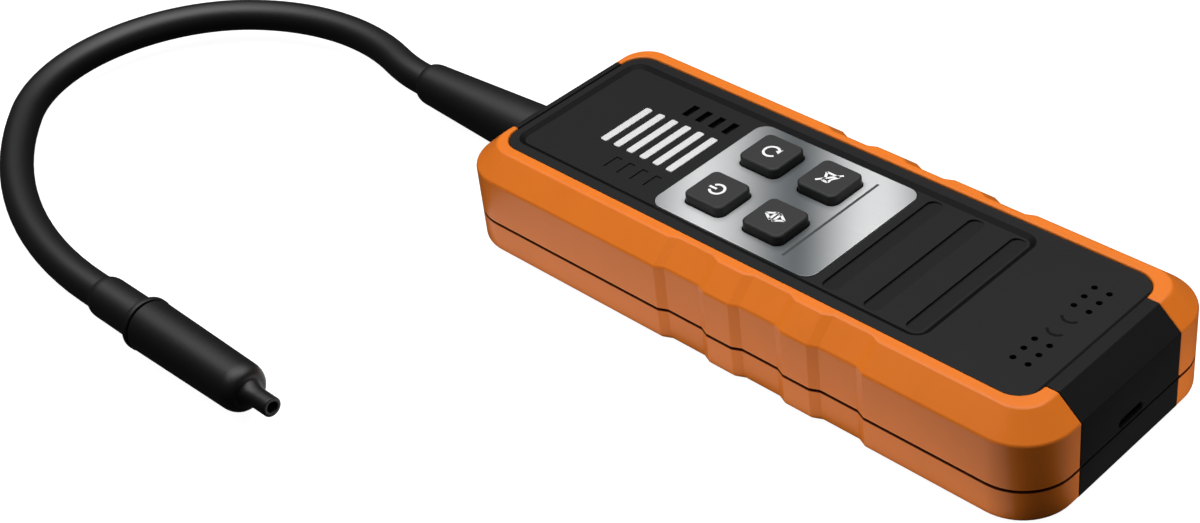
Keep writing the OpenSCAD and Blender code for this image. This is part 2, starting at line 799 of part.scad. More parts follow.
module circuit_board() color([0.05, 0.3, 0.15]) {
  difference() {
    translate([board_x0, -board_w / 2, board_z]) cube([board_x1 - board_x0, board_w, board_t]);
    at_posts() translate([0, 0, board_z - cut])
      cylinder(d = board_screw_d + 2 * screw_gap, h = board_t + 2 * cut);
  }
}

module key_switches() color([0.25, 0.25, 0.27]) {
  at_buttons() {
    translate([-switch_w / 2, -switch_w / 2, board_top]) cube([switch_w, switch_w, switch_body_h]);
    translate([0, 0, board_top]) cylinder(d = plunger_d, h = switch_h);
  }
}

module processor_chip() color([0.08, 0.08, 0.08])
  translate([plate_x0 + plate_l, -chip_w / 2, board_top]) cube([chip_w, chip_w, chip_t]);

module buzzer() color([0.1, 0.1, 0.1]) {
  translate([buzzer_x, 0, board_top]) difference() {
    cylinder(d = buzzer_d, h = buzzer_h);
    translate([0, 0, buzzer_h - buzzer_hole]) cylinder(d = buzzer_hole_d, h = buzzer_hole + cut);
  }
}

// Charging socket: a shell open to the end of the case, with a tongue inside
module charging_socket() color([0.75, 0.75, 0.76]) {
  translate([socket_x1 - socket_l, 0, socket_z + socket_h / 2]) rotate([90, 0, 90]) {
    difference() {
      linear_extrude(socket_l) slot_shape(socket_w, socket_h);
      translate([0, 0, socket_back]) linear_extrude(socket_l)
        slot_shape(socket_w - 2 * socket_wall, socket_h - 2 * socket_wall);
    }
    translate([-tongue_w / 2, -tongue_t / 2, 0]) cube([tongue_w, tongue_t, socket_l - tongue_in]);
  }
}

module battery() color([0.3, 0.45, 0.65])
  round_plate(battery_l, battery_w, battery_r, floor_t, floor_t + battery_t);

module case_screws() color([0.5, 0.5, 0.52]) {
  at_bosses() translate([0, 0, screw_sunk]) difference() {
    union() {
      cylinder(d = screw_head_d, h = screw_head_h);
      cylinder(d = screw_d, h = parting_z + screw_reach - screw_sunk);
    }
    cross_recess();
  }
}

// Cross recess cut into the lower face of a head
module cross_recess() {
  for (turn = [0, 90]) rotate(turn)
    translate([-cross_span / 2, -cross_w / 2, -cut]) cube([cross_span, cross_w, cut + cross_depth]);
}

module board_screws() color([0.6, 0.6, 0.62]) {
  at_posts() translate([0, 0, board_top + board_screw_h]) mirror([0, 0, 1]) difference() {
    union() {
      cylinder(d = board_screw_head, h = board_screw_h);
      cylinder(d = board_screw_d, h = board_screw_h + board_t + board_screw_reach);
    }
    cross_recess();
  }
}

// Boot: a flange inside, a waist in the case wall, and a long taper with a rounded end outside
module neck_boot() color([0.1, 0.1, 0.1]) {
  inner = -end_wall - boot_flange_t;
  end_r = boot_bore / 2 + boot_lip;
  translate([-half_l, 0, neck_z]) rotate([0, -90, 0]) difference() {
    rotate_extrude() polygon(concat([[0, inner], [boot_flange_d / 2, inner],
      [boot_flange_d / 2, -end_wall], [boot_neck_d / 2, -end_wall], [boot_neck_d / 2, 0],
      [boot_d / 2, 0], [boot_d / 2, boot_root_l]],
      round_end(boot_tip_d / 2, end_r, boot_l - boot_tip_l, boot_l), [[0, boot_l]]));
    translate([0, 0, inner - cut]) cylinder(d = boot_bore, h = boot_l - inner + 2 * cut);
  }
}

module neck_nut() color([0.7, 0.68, 0.6]) {
  along_x([-half_l + end_wall + boot_flange_t, 0, neck_z]) difference() {
    cylinder(d = nut_af / cos(30), h = nut_t, $fn = 6);
    translate([0, 0, -cut]) cylinder(d = boot_bore, h = nut_t + 2 * cut);
  }
}

// Neck: one tube swept straight out of the case, round its bends and into the probe sleeve
module gooseneck() color([0.08, 0.08, 0.08]) {
  rings = len(neck_path);
  points = [for (p = neck_path, j = [0:neck_sides - 1]) neck_point(p, j * 360 / neck_sides)];
  walls = [for (i = [0:rings - 2], j = [0:neck_sides - 1]) let (k = (j + 1) % neck_sides)
    [i * neck_sides + j, i * neck_sides + k, (i + 1) * neck_sides + k, (i + 1) * neck_sides + j]];
  first = [for (j = [neck_sides - 1:-1:0]) j];
  last = [for (j = [0:neck_sides - 1]) (rings - 1) * neck_sides + j];
  polyhedron(points, concat([first], walls, [last]));
}

module probe_sleeve() color([0.1, 0.1, 0.1]) {
  along_x(probe_start) difference() {
    rotate_extrude() polygon(concat([[0, sleeve_l], [sleeve_d / 2, sleeve_l]],
      round_end(sleeve_d / 2, sleeve_tip_d / 2, sleeve_tip_l, 0), [[0, 0]]));
    translate([0, 0, -cut]) cylinder(d = boot_bore, h = sleeve_l + 2 * cut);
  }
}

// Collar: a flared ring, the spigot for the cap, and a groove for the seal
module probe_collar() color([0.1, 0.1, 0.1]) {
  along_x(collar_start) difference() {
    rotate_extrude() polygon([[0, 0], [sleeve_d / 2, 0], [ring_d / 2, flare_l],
      [ring_d / 2, ring_l], [spigot_d / 2, ring_l], [spigot_d / 2, spigot_x + spigot_l],
      [0, spigot_x + spigot_l]]);
    rotate_extrude() translate([spigot_d / 2 - seal_d, seal_x - seal_d / 2])
      square([2 * seal_d, seal_d]);
  }
}

module seal_ring() color([0.05, 0.05, 0.05]) {
  along_x(collar_start + [seal_x, 0, 0])
    rotate_extrude() translate([spigot_d / 2 - seal_d / 2, 0]) circle(d = seal_d, $fn = 24);
}

// Sensor can with an open mouth
module sensor() color([0.75, 0.72, 0.62]) {
  along_x(collar_start + [spigot_x + spigot_l, 0, 0]) difference() {
    cylinder(d = sensor_d, h = sensor_l);
    translate([0, 0, sensor_l - sensor_mouth]) cylinder(d = sensor_mouth_d, h = sensor_mouth + cut);
  }
}

module filter_disc() color([0.92, 0.92, 0.88])
  along_x(collar_start + [filter_x, 0, 0]) cylinder(d = cap_bore - 2 * screw_gap, h = filter_t);

// Cap: a tapered barrel, a rounded shoulder and an open nozzle
module probe_cap() color([0.1, 0.1, 0.1]) {
  bore_l = filter_x + filter_t - spigot_x;
  throat_l = barrel_l + bulge_l;
  along_x(collar_start + [spigot_x, 0, 0]) difference() {
    rotate_extrude() polygon(concat([[0, 0], [cap_d / 2, 0]], shoulder_points(),
      [[nozzle_d / 2, cap_l], [0, cap_l]]));
    translate([0, 0, -cut]) cylinder(d = cap_bore, h = bore_l + cut);
    translate([0, 0, bore_l])
      cylinder(d1 = cap_bore - 2 * cap_gap, d2 = nozzle_bore, h = throat_l - bore_l);
    translate([0, 0, throat_l - cut]) cylinder(d = nozzle_bore, h = cap_l - throat_l + 2 * cut);
  }
}

// Outline of the cap's shoulder: a convex turn, then a hollow one into the nozzle
function shoulder_points() =
  let (bulge = (cap_tip_d - nozzle_d) / 2 - hollow_r)
  concat([for (i = [0:edge_steps]) let (a = 90 * i / edge_steps)
      [cap_tip_d / 2 - bulge * (1 - cos(a)), barrel_l + bulge_l * sin(a)]],
    [for (i = [1:edge_steps]) let (a = 90 * i / edge_steps)
      [nozzle_d / 2 + hollow_r * (1 - sin(a)), barrel_l + shoulder_l - hollow_l * cos(a)]]);

upper_housing();
lower_housing();
left_upper_grip();
right_upper_grip();
left_lower_grip();
right_lower_grip();
front_panel();
keypad_plate();
power_button();
reset_button();
sensitivity_button();
mute_button();
light_guide();
indicator_leds();
circuit_board();
key_switches();
processor_chip();
buzzer();
charging_socket();
battery();
case_screws();
board_screws();
neck_boot();
neck_nut();
gooseneck();
probe_sleeve();
probe_collar();
seal_ring();
sensor();
filter_disc();
probe_cap();
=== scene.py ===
"""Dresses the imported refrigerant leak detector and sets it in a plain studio.

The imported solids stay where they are. Copies of them with rounded edges show the case, its grips, the
panel and the keys, turned and swept pieces show the neck and the probe, and every surface gets a
procedural finish. All sizes are in metres, in the part's own frame.
"""

from __future__ import annotations

import logging
import math
from collections.abc import Callable, Iterable, Sequence
from dataclasses import dataclass
from enum import Enum

import bmesh
import bpy
from bmesh.types import BMEdge, BMesh, BMFace, BMVert
from mathutils import Matrix, Vector

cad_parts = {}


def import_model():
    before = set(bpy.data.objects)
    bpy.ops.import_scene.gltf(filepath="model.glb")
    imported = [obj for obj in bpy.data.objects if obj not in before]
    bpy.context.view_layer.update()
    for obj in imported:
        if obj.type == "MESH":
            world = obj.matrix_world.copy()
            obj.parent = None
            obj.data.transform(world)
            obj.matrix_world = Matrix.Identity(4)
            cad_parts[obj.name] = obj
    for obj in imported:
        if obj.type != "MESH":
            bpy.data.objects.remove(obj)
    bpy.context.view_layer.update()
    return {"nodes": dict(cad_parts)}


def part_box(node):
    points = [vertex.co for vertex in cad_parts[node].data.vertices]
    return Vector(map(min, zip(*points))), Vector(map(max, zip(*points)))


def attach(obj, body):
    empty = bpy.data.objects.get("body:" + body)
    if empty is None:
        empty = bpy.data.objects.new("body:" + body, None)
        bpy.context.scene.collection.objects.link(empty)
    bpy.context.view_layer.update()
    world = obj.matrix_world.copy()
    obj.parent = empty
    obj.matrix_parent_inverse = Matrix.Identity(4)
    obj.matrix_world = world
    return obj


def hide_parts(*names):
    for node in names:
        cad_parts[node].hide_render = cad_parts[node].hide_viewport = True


LOG = logging.getLogger("leak_detector")
MM = 0.001
# Points nearer than this are one point, and faces flatter than this are one face
MERGE = 0.001 * MM
FLAT = math.radians(0.5)
# A fold sharper than this is an edge, and a face whose normal rises more than this lies level
CORNER = math.radians(18)
LEVEL = 0.9999
# Thickness of printed ink, and the turn in one step of a round stroke
INK = 0.06 * MM
STROKE_STEP = math.radians(10)
# Heights of the lamps overhead, and of the cards that lie on the floor
LAMP_HEIGHT = 0.8
CARD_HEIGHT = -0.1 * MM
UP = Vector((0, 0, 1))

Color = tuple[float, float, float]
Pair = tuple[float, float]
Outline = Sequence[Pair]


def srgb(red: int, green: int, blue: int) -> Color:
    """Linear colour of a screen colour.

    Args:
        red: Red from 0 to 255.
        green: Green from 0 to 255.
        blue: Blue from 0 to 255.

    Returns:
        The three linear values.
    """

    def linear(value: int) -> float:
        """Linear value of one channel."""
        share = value / 255
        return share / 12.92 if share <= 0.04045 else ((share + 0.055) / 1.055) ** 2.4

    return linear(red), linear(green), linear(blue)


def shade(color: Color, share: float) -> Color:
    """Colour made lighter or darker by a share."""
    return color[0] * share, color[1] * share, color[2] * share


class Body(Enum):
    """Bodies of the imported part."""

    CASE = "case"
    POWER = "power_button"
    RESET = "reset_button"
    SENSITIVITY = "sensitivity_button"
    MUTE = "mute_button"
    CAP = "probe_cap"


@dataclass(frozen=True)
class Socket:
    """An output of a shader node, used as a number in Python expressions."""

    tree: ShaderTree
    source: bpy.types.NodeSocket

    def _math(self, operation: str, left: Value, right: Value) -> Socket:
        """Math node on two values."""
        return self.tree.node("ShaderNodeMath", {"operation": operation}, {0: left, 1: right})

    def __add__(self, other: Value) -> Socket:
        """Sum."""
        return self._math("ADD", self, other)

    def __radd__(self, other: Value) -> Socket:
        """Sum, with the number on the left."""
        return self._math("ADD", other, self)

    def __sub__(self, other: Value) -> Socket:
        """Difference."""
        return self._math("SUBTRACT", self, other)

    def __rsub__(self, other: Value) -> Socket:
        """Difference, with the number on the left."""
        return self._math("SUBTRACT", other, self)

    def __mul__(self, other: Value) -> Socket:
        """Product."""
        return self._math("MULTIPLY", self, other)

    def __rmul__(self, other: Value) -> Socket:
        """Product, with the number on the left."""
        return self._math("MULTIPLY", other, self)

    def smooth(self, low: float, high: float) -> Socket:
        """Smooth step from 0 at the low value to 1 at the high one."""
        settings = {"interpolation_type": "SMOOTHSTEP"}
        return self.tree.node("ShaderNodeMapRange", settings, {0: self, 1: low, 2: high, 3: 0.0, 4: 1.0})


Value = Socket | float


class ShaderTree:
    """A material's nodes, made one at a time."""

    def __init__(self, name: str) -> None:
        """Starts an empty material.

        Args:
            name: Its name.
        """
        self.material = bpy.data.materials.new(name)
        self.material.use_nodes = True
        self.material.node_tree.nodes.clear()

    def node(
        self,
        kind: str,
        settings: dict[str, object] | None = None,
        inputs: dict[int | str, object] | None = None,
        output: int | str = 0,
    ) -> Socket:
        """Adds one node.

        Args:
            kind: Type of the node.
            settings: Its own settings, which are set first.
            inputs: Values or links of its sockets, by name or number.
            output: The output to return, by name or number.

        Returns:
            That output.
        """
        made = self.material.node_tree.nodes.new(kind)
        for name, value in (settings or {}).items():
            setattr(made, name, value)
        for key, value in (inputs or {}).items():
            if isinstance(value, Socket):
                self.material.node_tree.links.new(value.source, made.inputs[key])
            else:
                made.inputs[key].default_value = value
        return Socket(self, made.outputs[output] if made.outputs else None)

    def place(self, stretch: Sequence[float] = (1, 1, 1)) -> Socket:
        """Object coordinates, scaled along X, Y and Z."""
        here = self.node("ShaderNodeTexCoord", output="Object")
        return self.node("ShaderNodeMapping", {}, {"Vector": here, "Scale": stretch})

    def noise(self, place: Socket, grain: float, detail: float = 2.0) -> Socket:
        """Noise from 0 to 1, with bumps of the grain's size and octaves of finer detail."""
        return self.node("ShaderNodeTexNoise", {}, {"Vector": place, "Scale": 1 / grain, "Detail": detail})

    def mix(self, share: Value, first: Socket | Color, second: Socket | Color) -> Socket:
        """Blend of two colours, by the share of the second."""
        pair = [c if isinstance(c, Socket) else (*c, 1.0) for c in (first, second)]
        return self.node("ShaderNodeMix", {"data_type": "RGBA"}, {0: share, 6: pair[0], 7: pair[1]}, 2)

    def bump(self, height: Socket, depth: float) -> Socket:
        """Normal of a surface with bumps of that depth, from their height between 0 and 1."""
        return self.node("ShaderNodeBump", {}, {"Strength": 1.0, "Distance": depth, "Height": height})

    def surface(self, inputs: dict[int | str, object]) -> bpy.types.Material:
        """Ends the material in one shader.

        Args:
            inputs: Values or links of the shader's sockets.

        Returns:
            The material.
        """
        shader = self.node("ShaderNodeBsdfPrincipled", {}, inputs)
        self.node("ShaderNodeOutputMaterial", {}, {"Surface": shader})
        return self.material


@dataclass(frozen=True)
class Moulded:
    """Moulded plastic or rubber with a fine grain and soft clouds of colour."""

    name: str
    slot: str
    color: Color
    roughness: float
    grain: float = 0.35 * MM
    grain_depth: float = 0.012 * MM
    cloud: float = 14 * MM
    cloud_detail: float = 3.0
    cloud_spread: float = 0.06
    rough_spread: float = 0.08
    specular: float = 0.5

    def material(self) -> bpy.types.Material:
        """Builds the material.

        Returns:
            The material.
        """
        tree = ShaderTree(self.name)
        place = tree.place()
        grain = tree.noise(place, self.grain)
        cloud = tree.noise(place, self.cloud, self.cloud_detail)
        dark, light = (shade(self.color, 1 + way * self.cloud_spread) for way in (-1, 1))
        return tree.surface(
            {
                "Base Color": tree.mix(cloud, dark, light),
                "Roughness": self.roughness + self.rough_spread * (grain - 0.5),
                "Normal": tree.bump(grain, self.grain_depth),
                "Specular IOR Level": self.specular,
            }
        )


@dataclass(frozen=True)
class Brushed:
    """Metal with fine scratches that run along X."""

    name: str
    slot: str
    color: Color
    roughness: float
    metallic: float = 1.0
    scratch: float = 0.12 * MM
    scratch_length: float = 9 * MM
    scratch_depth: float = 0.002 * MM
    scratch_detail: float = 3.0
    tone_spread: float = 0.10
    rough_spread: float = 0.1

    def scratches(self, tree: ShaderTree) -> Socket:
        """Scratches from 0 to 1."""
        stretch = (self.scratch / self.scratch_length, 1, 1)
        return tree.noise(tree.place(stretch), self.scratch, self.scratch_detail)

    def tone(self, tree: ShaderTree, scratches: Socket) -> Socket:
        """Colour of the metal."""
        dark, light = (shade(self.color, 1 + way * self.tone_spread) for way in (-1, 1))
        return tree.mix(scratches, dark, light)

    def material(self) -> bpy.types.Material:
        """Builds the material.

        Returns:
            The material.
        """
        tree = ShaderTree(self.name)
        scratches = self.scratches(tree)
        return tree.surface(
            {
                "Base Color": self.tone(tree, scratches),
                "Metallic": self.metallic,
                "Roughness": self.roughness + self.rough_spread * (scratches - 0.5),
                "Normal": tree.bump(scratches, self.scratch_depth),
            }
        )


@dataclass(frozen=True)
class PaintedReflectionPlate(Brushed):
    """Brushed plate with a painted reflection: a dark band that crosses it on a slant, and darker ends."""

    # Colour, place, slant and reach of the painted reflection band, and the ranges over which both ends
    # are painted darker
    dark: Color = (0.1, 0.112, 0.118)
    reflection_band_place: Pair = (-3.9 * MM, -1.45 * MM)
    reflection_band_angle: float = math.radians(39.8)
    reflection_band_reach: Pair = (24 * MM, 18 * MM)
    reflection_near_end: Pair = (-42 * MM, -22 * MM)
    reflection_far_end: Pair = (20 * MM, 36 * MM)

    def tone(self, tree: ShaderTree, scratches: Socket) -> Socket:
        """Colour of the metal, with the painted reflection of a dark band and darker ends.

        Args:
            tree: The material's nodes.
            scratches: Scratches from 0 to 1.

        Returns:
            The colour.
        """
        here = tree.node("ShaderNodeTexCoord", output="Object")
        centre = (*self.reflection_band_place, 0)
        across = (math.cos(self.reflection_band_angle), math.sin(self.reflection_band_angle), 0)
        moved = tree.node("ShaderNodeVectorMath", {"operation": "SUBTRACT"}, {0: here, 1: centre})
        product = {"operation": "DOT_PRODUCT"}
        offset = tree.node("ShaderNodeVectorMath", product, {0: moved, 1: across}, "Value")
        before, after = self.reflection_band_reach
        # Share of bright metal; the painted reflection darkens the band and both ends
        light = 1.0 - offset.smooth(-before, 0.0) + offset.smooth(0.0, after)
        light = light * offset.smooth(*self.reflection_near_end) * (1.0 - offset.smooth(*self.reflection_far_end))
        return tree.mix(light, self.dark, super().tone(tree, scratches))


Finish = Moulded | Brushed


def add_object(name: str, data: bpy.types.ID, stand: Matrix | None = None) -> bpy.types.Object:
    """Adds an object to the scene.

    Args:
        name: Its name.
        data: Its mesh, camera or lamp.
        stand: Its place and turn, where it isn't at the origin.

    Returns:
        The object.
    """
    made = bpy.data.objects.new(name, data)
    bpy.context.scene.collection.objects.link(made)
    if stand is not None:
        made.matrix_world = stand
    return made


def standing(place: Vector, right: Vector, up: Vector, back: Vector) -> Matrix:
    """Place and turn of a camera or lamp that looks away from its back."""
    return Matrix.Translation(place) @ Matrix((right, up, back)).transposed().to_4x4()


class Workbench:
    """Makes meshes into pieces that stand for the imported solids."""

    def __init__(self, nodes: dict[str, bpy.types.Object]) -> None:
        """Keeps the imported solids' objects."""
        self.nodes = nodes
        self.paints: dict[str, bpy.types.Material] = {}

    def paint(self, finish: Finish) -> bpy.types.Material:
        """Material of a finish, made once.

        Args:
            finish: The finish.

        Returns:
            The material.
        """
        if finish.name not in self.paints:
            self.paints[finish.name] = finish.material()
        return self.paints[finish.name]

    def dress(self, finish: Finish, *nodes: str) -> None:
        """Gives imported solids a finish.

        Args:
            finish: The finish.
            nodes: Names of the solids.
        """
        for node in nodes:
            slots = self.nodes[node].data.materials
            slots.clear()
            slots.append(self.paint(finish))
            LOG.info("dressed %s in %s", node, finish.name)

    def copy(self, node: str, whole: bool = True) -> BMesh:
        """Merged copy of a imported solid.

        Args:
            node: Name of the solid.
            whole: Makes each flat face one face.

        Returns:
            The copy.
        """
        mesh = bmesh.new()
        mesh.from_mesh(self.nodes[node].data)
        bmesh.ops.remove_doubles(mesh, verts=mesh.verts, dist=MERGE)
        if whole:
            bmesh.ops.dissolve_limit(mesh, angle_limit=FLAT, verts=mesh.verts, edges=mesh.edges)
        return mesh

    def place(
        self,
        name: str,
        mesh: BMesh,
        finish: Finish,
        body: Body,
        stands_for: Iterable[str] = (),
        sharp: float = math.radians(40),
        painted_shade_coat: Finish | None = None,
    ) -> None:
        """Makes a mesh into a piece that rides on a body.

        Args:
            name: Name of the piece.
            mesh: Its mesh, which is used up.
            finish: Its finish.
            body: The body that it rides on.
            stands_for: Names of the solids that it stands for.
            sharp: Fold beyond which an edge stays sharp.
            painted_shade_coat: Finish of its marked faces, which paints shade on them.
        """
        mesh.normal_update()
        for face in mesh.faces:
            face.smooth = abs(face.normal.z) < LEVEL
        for edge in mesh.edges:
            edge.smooth = not edge.is_manifold or edge.calc_face_angle() < sharp
        data = bpy.data.meshes.new(name)
        mesh.to_mesh(data)
        mesh.free()
        inherited = data.attributes.get("custom_normal")
        if inherited:
            data.attributes.remove(inherited)
        for coat in (finish, painted_shade_coat) if painted_shade_coat else (finish,):
            data.materials.append(self.paint(coat))
        piece = add_object(name, data)
        normals = piece.modifiers.new("normals", "WEIGHTED_NORMAL")
        normals.keep_sharp = True
        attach(piece, body.value)
        if stands_for:
            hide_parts(*stands_for)
        LOG.info("placed %s: %d faces", name, len(data.polygons))


def middle(edge: BMEdge) -> Vector:
    """Middle of an edge."""
    return (edge.verts[0].co + edge.verts[1].co) / 2


def mark(mesh: BMesh, pick: Callable[[BMFace], bool]) -> None:
    """Gives the faces that a test picks the piece's second finish, which paints shade on them.

    Args:
        mesh: The mesh.
        pick: Test that says which faces are marked.
    """
    mesh.normal_update()
    for face in mesh.faces:
        face.material_index = 1 if pick(face) else 0


def round_edges(
    mesh: BMesh,
    radius: float,
    pick: Callable[[BMEdge], bool],
    segments: int = 3,
    fold: float = CORNER,
) -> None:
    """Rounds the sharp edges that a test picks.

    Args:
        mesh: The mesh.
        radius: Radius of the rounding.
        pick: Test that says which edges are rounded.
        segments: Steps across the rounding.
        fold: Fold beyond which an edge is sharp.
    """
    edges = [e for e in mesh.edges if e.is_manifold and e.calc_face_angle() > fold and pick(e)]
    bmesh.ops.bevel(
        mesh,
        geom=edges,
        offset=radius,
        offset_type="OFFSET",
        segments=segments,
        profile=0.5,
        affect="EDGES",
        clamp_overlap=True,
        loop_slide=True,
        material=-1,
    )


def quarter(first: Pair, last: Pair, steps: int = 8) -> list[Pair]:
    """Quarter turn of a profile, which leaves its first point along the axis.

    Args:
        first: Distance along the axis and radius at the start.
        last: The same at the end.
        steps: Steps in the turn.

    Returns:
        The points, without the first.
    """
    run, rise = last[0] - first[0], last[1] - first[1]
    turns = [math.pi / 2 * step / steps for step in range(1, steps + 1)]
    return [(first[0] + run * math.sin(t), first[1] + rise * (1 - math.cos(t))) for t in turns]


def turned(profile: Outline, start: Vector, axis: Vector, steps: int = 64) -> BMesh:
    """Turned piece, with a bore where its profile comes back to its first point.

    Args:
        profile: Distance along the axis and radius of each point.
        start: Start of the axis, which lies flat.
        axis: Direction of the axis.
        steps: Steps round the axis.

    Returns:
        The closed mesh, with sharp edges where the profile has corners.
    """
    mesh = bmesh.new()
    points = [mesh.verts.new(start + along * axis + Vector((0, 0, radius))) for along, radius in profile]
    edges = [mesh.edges.new(pair) for pair in zip(points, points[1:])]
    bmesh.ops.spin(
        mesh, geom=points + edges, cent=start, axis=axis, angle=math.tau, steps=steps, use_merge=True
    )
    bmesh.ops.remove_doubles(mesh, verts=mesh.verts, dist=MERGE)
    bmesh.ops.recalc_face_normals(mesh, faces=mesh.faces)
    return mesh


def new_parts(drawn: dict[str, list], kind: type) -> list:
    """Parts of one kind, vertices or edges, that an extrusion made."""
    return [part for part in drawn["geom"] if isinstance(part, kind)]


class InkPen:
    """Draws one flat sign in the plane, about its middle."""

    def __init__(self, width: float) -> None:
        """Takes a pen of that width."""
        self.mesh = bmesh.new()
        self.width = width

    def _nib(self, spot: Vector, side: Vector) -> list[BMVert | BMEdge]:
        """Two vertices and the edge between them, as long as the pen is wide, about a spot."""
        ends = [self.mesh.verts.new(spot + side * (self.width / 2) * sign) for sign in (-1, 1)]
        return [*ends, self.mesh.edges.new(ends)]

    def bar(self, start: Pair, end: Pair) -> None:
        """Draws a straight stroke.

        Args:
            start: Where it starts, to the right and up.
            end: Where it ends.
        """
        first, last = Vector((*start, 0)), Vector((*end, 0))
        nib = self._nib(first, (last - first).normalized().cross((0, 0, 1)))
        drawn = bmesh.ops.extrude_edge_only(self.mesh, edges=nib[-1:])
        bmesh.ops.translate(self.mesh, verts=new_parts(drawn, BMVert), vec=last - first)

    def arc(self, radius: float, start: float, turn: float, about: Pair = (0, 0)) -> None:
        """Draws a round stroke.

        Args:
            radius: Its radius.
            start: The angle at which it starts.
            turn: How far it turns, with left positive.
            about: Its centre, to the right and up.
        """
        centre, spot = Vector((*about, 0)), Vector((math.cos(start), math.sin(start), 0))
        nib = self._nib(centre + radius * spot, spot)
        steps = round(abs(turn) / STROKE_STEP)
        bmesh.ops.spin(self.mesh, geom=nib, cent=centre, axis=(0, 0, 1), angle=turn, steps=steps)

    def patch(self, corners: Outline) -> None:
        """Draws a filled shape from its corners, each to the right and up."""
        self.mesh.faces.new([self.mesh.verts.new((*corner, 0)) for corner in corners])

    def ink(self, spot: Vector) -> BMesh:
        """Gives the sign its thickness and lays it level, with its up towards the neck.

        Args:
            spot: Where its middle lies, with half of the ink sunk.

        Returns:
            The sign's mesh.
        """
        drawn = bmesh.ops.extrude_face_region(self.mesh, geom=self.mesh.faces[:])
        bmesh.ops.translate(self.mesh, verts=new_parts(drawn, BMVert), vec=INK * UP)
        lay = Matrix.Translation(spot - INK / 2 * UP) @ Matrix.Rotation(math.pi / 2, 4, "Z")
        bmesh.ops.transform(self.mesh, matrix=lay, verts=self.mesh.verts)
        bmesh.ops.recalc_face_normals(self.mesh, faces=self.mesh.faces)
        return self.mesh


@dataclass(frozen=True)
class CaseForm:
    """Outer form of the case, which tells outside edges from inside ones."""

    length: float
    width: float
    height: float
    corner: float = 13 * MM
    slope_in: float = 6 * MM
    slope_drop: float = 5.4 * MM

    @classmethod
    def from_frame(cls) -> CaseForm:
        """Takes the case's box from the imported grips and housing.

        Returns:
            The form.
        """
        low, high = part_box("upper_housing")
        _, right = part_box("right_upper_grip")
        return cls(high.x - low.x, 2 * right.y, high.z)

    def depth(self, point: Vector) -> float:
        """How far a point lies under the outer surface.

        Args:
            point: A point in the case.

        Returns:
            The depth under the nearest of its side, shoulder, top and back.
        """
        along = abs(point.x) - (self.length / 2 - self.corner)
        across = abs(point.y) - (self.width / 2 - self.corner)
        reach = math.hypot(max(along, 0), max(across, 0)) + min(max(along, across), 0)
        side = self.corner - reach
        crease = self.height - self.slope_drop
        rise = side * self.slope_drop + (crease - point.z) * self.slope_in
        shoulder = rise / math.hypot(self.slope_in, self.slope_drop)
        return min(side, shoulder, self.height - point.z, point.z)

    def outside(self, limit: float) -> Callable[[BMEdge], bool]:
        """Test for edges that lie less than a depth under the surface."""
        return lambda edge: self.depth(middle(edge)) < limit


@dataclass(frozen=True)
class CaseShells:
    """The two housing shells and the four soft grips, with painted shade inside the parting line between
    the grips.
    """

    form: CaseForm
    plastic: Finish
    rubber: Finish
    # Dark brown finish that paints the shade inside the parting line
    painted_parting_shade: Finish
    grip_round: float = 0.5 * MM
    grip_skin: float = 1.4 * MM
    grip_steps: int = 8
    ramp_fold: float = math.radians(30)
    ramp_edge: float = math.radians(14)
    parting: float = 9.3 * MM
    parting_round: float = 0.15 * MM
    # Half height of the band about the parting line whose faces get painted shade
    painted_parting_half: float = 0.46 * MM
    band_round: float = 0.3 * MM
    band_skin: float = 0.5 * MM

    def build(self, bench: Workbench) -> None:
        """Builds the shells and grips.

        Args:
            bench: The workbench.
        """
        skin = self.form.outside(self.grip_skin)

        def at_parting(edge: BMEdge) -> bool:
            """Tells the edges along the parting line from the rest."""
            return skin(edge) and all(abs(v.co.z - self.parting) < self.grip_round for v in edge.verts)

        def on_skin(edge: BMEdge) -> bool:
            """Tells the other outside edges from the rest."""
            return skin(edge) and not at_parting(edge)

        def in_painted_parting(face: BMFace) -> bool:
            """Tells the faces inside the parting line, which get painted shade, from the rest."""
            return all(abs(v.co.z - self.parting) < self.painted_parting_half for v in face.verts)

        for node in ("left_upper_grip", "right_upper_grip", "left_lower_grip", "right_lower_grip"):
            mesh = bench.copy(node)
            round_edges(mesh, self.parting_round, at_parting)
            round_edges(mesh, self.grip_round, on_skin, self.grip_steps, self.ramp_fold)
            # The faces inside the parting line get the dark brown that paints the shade in the gap
            mark(mesh, in_painted_parting)
            name = f"{node}_moulding"
            bench.place(name, mesh, self.rubber, Body.CASE, [node], self.ramp_edge, self.painted_parting_shade)
        for node in ("upper_housing", "lower_housing"):
            mesh = bench.copy(node)
            round_edges(mesh, self.band_round, self.form.outside(self.band_skin))
            bench.place(f"{node}_moulding", mesh, self.plastic, Body.CASE, [node])


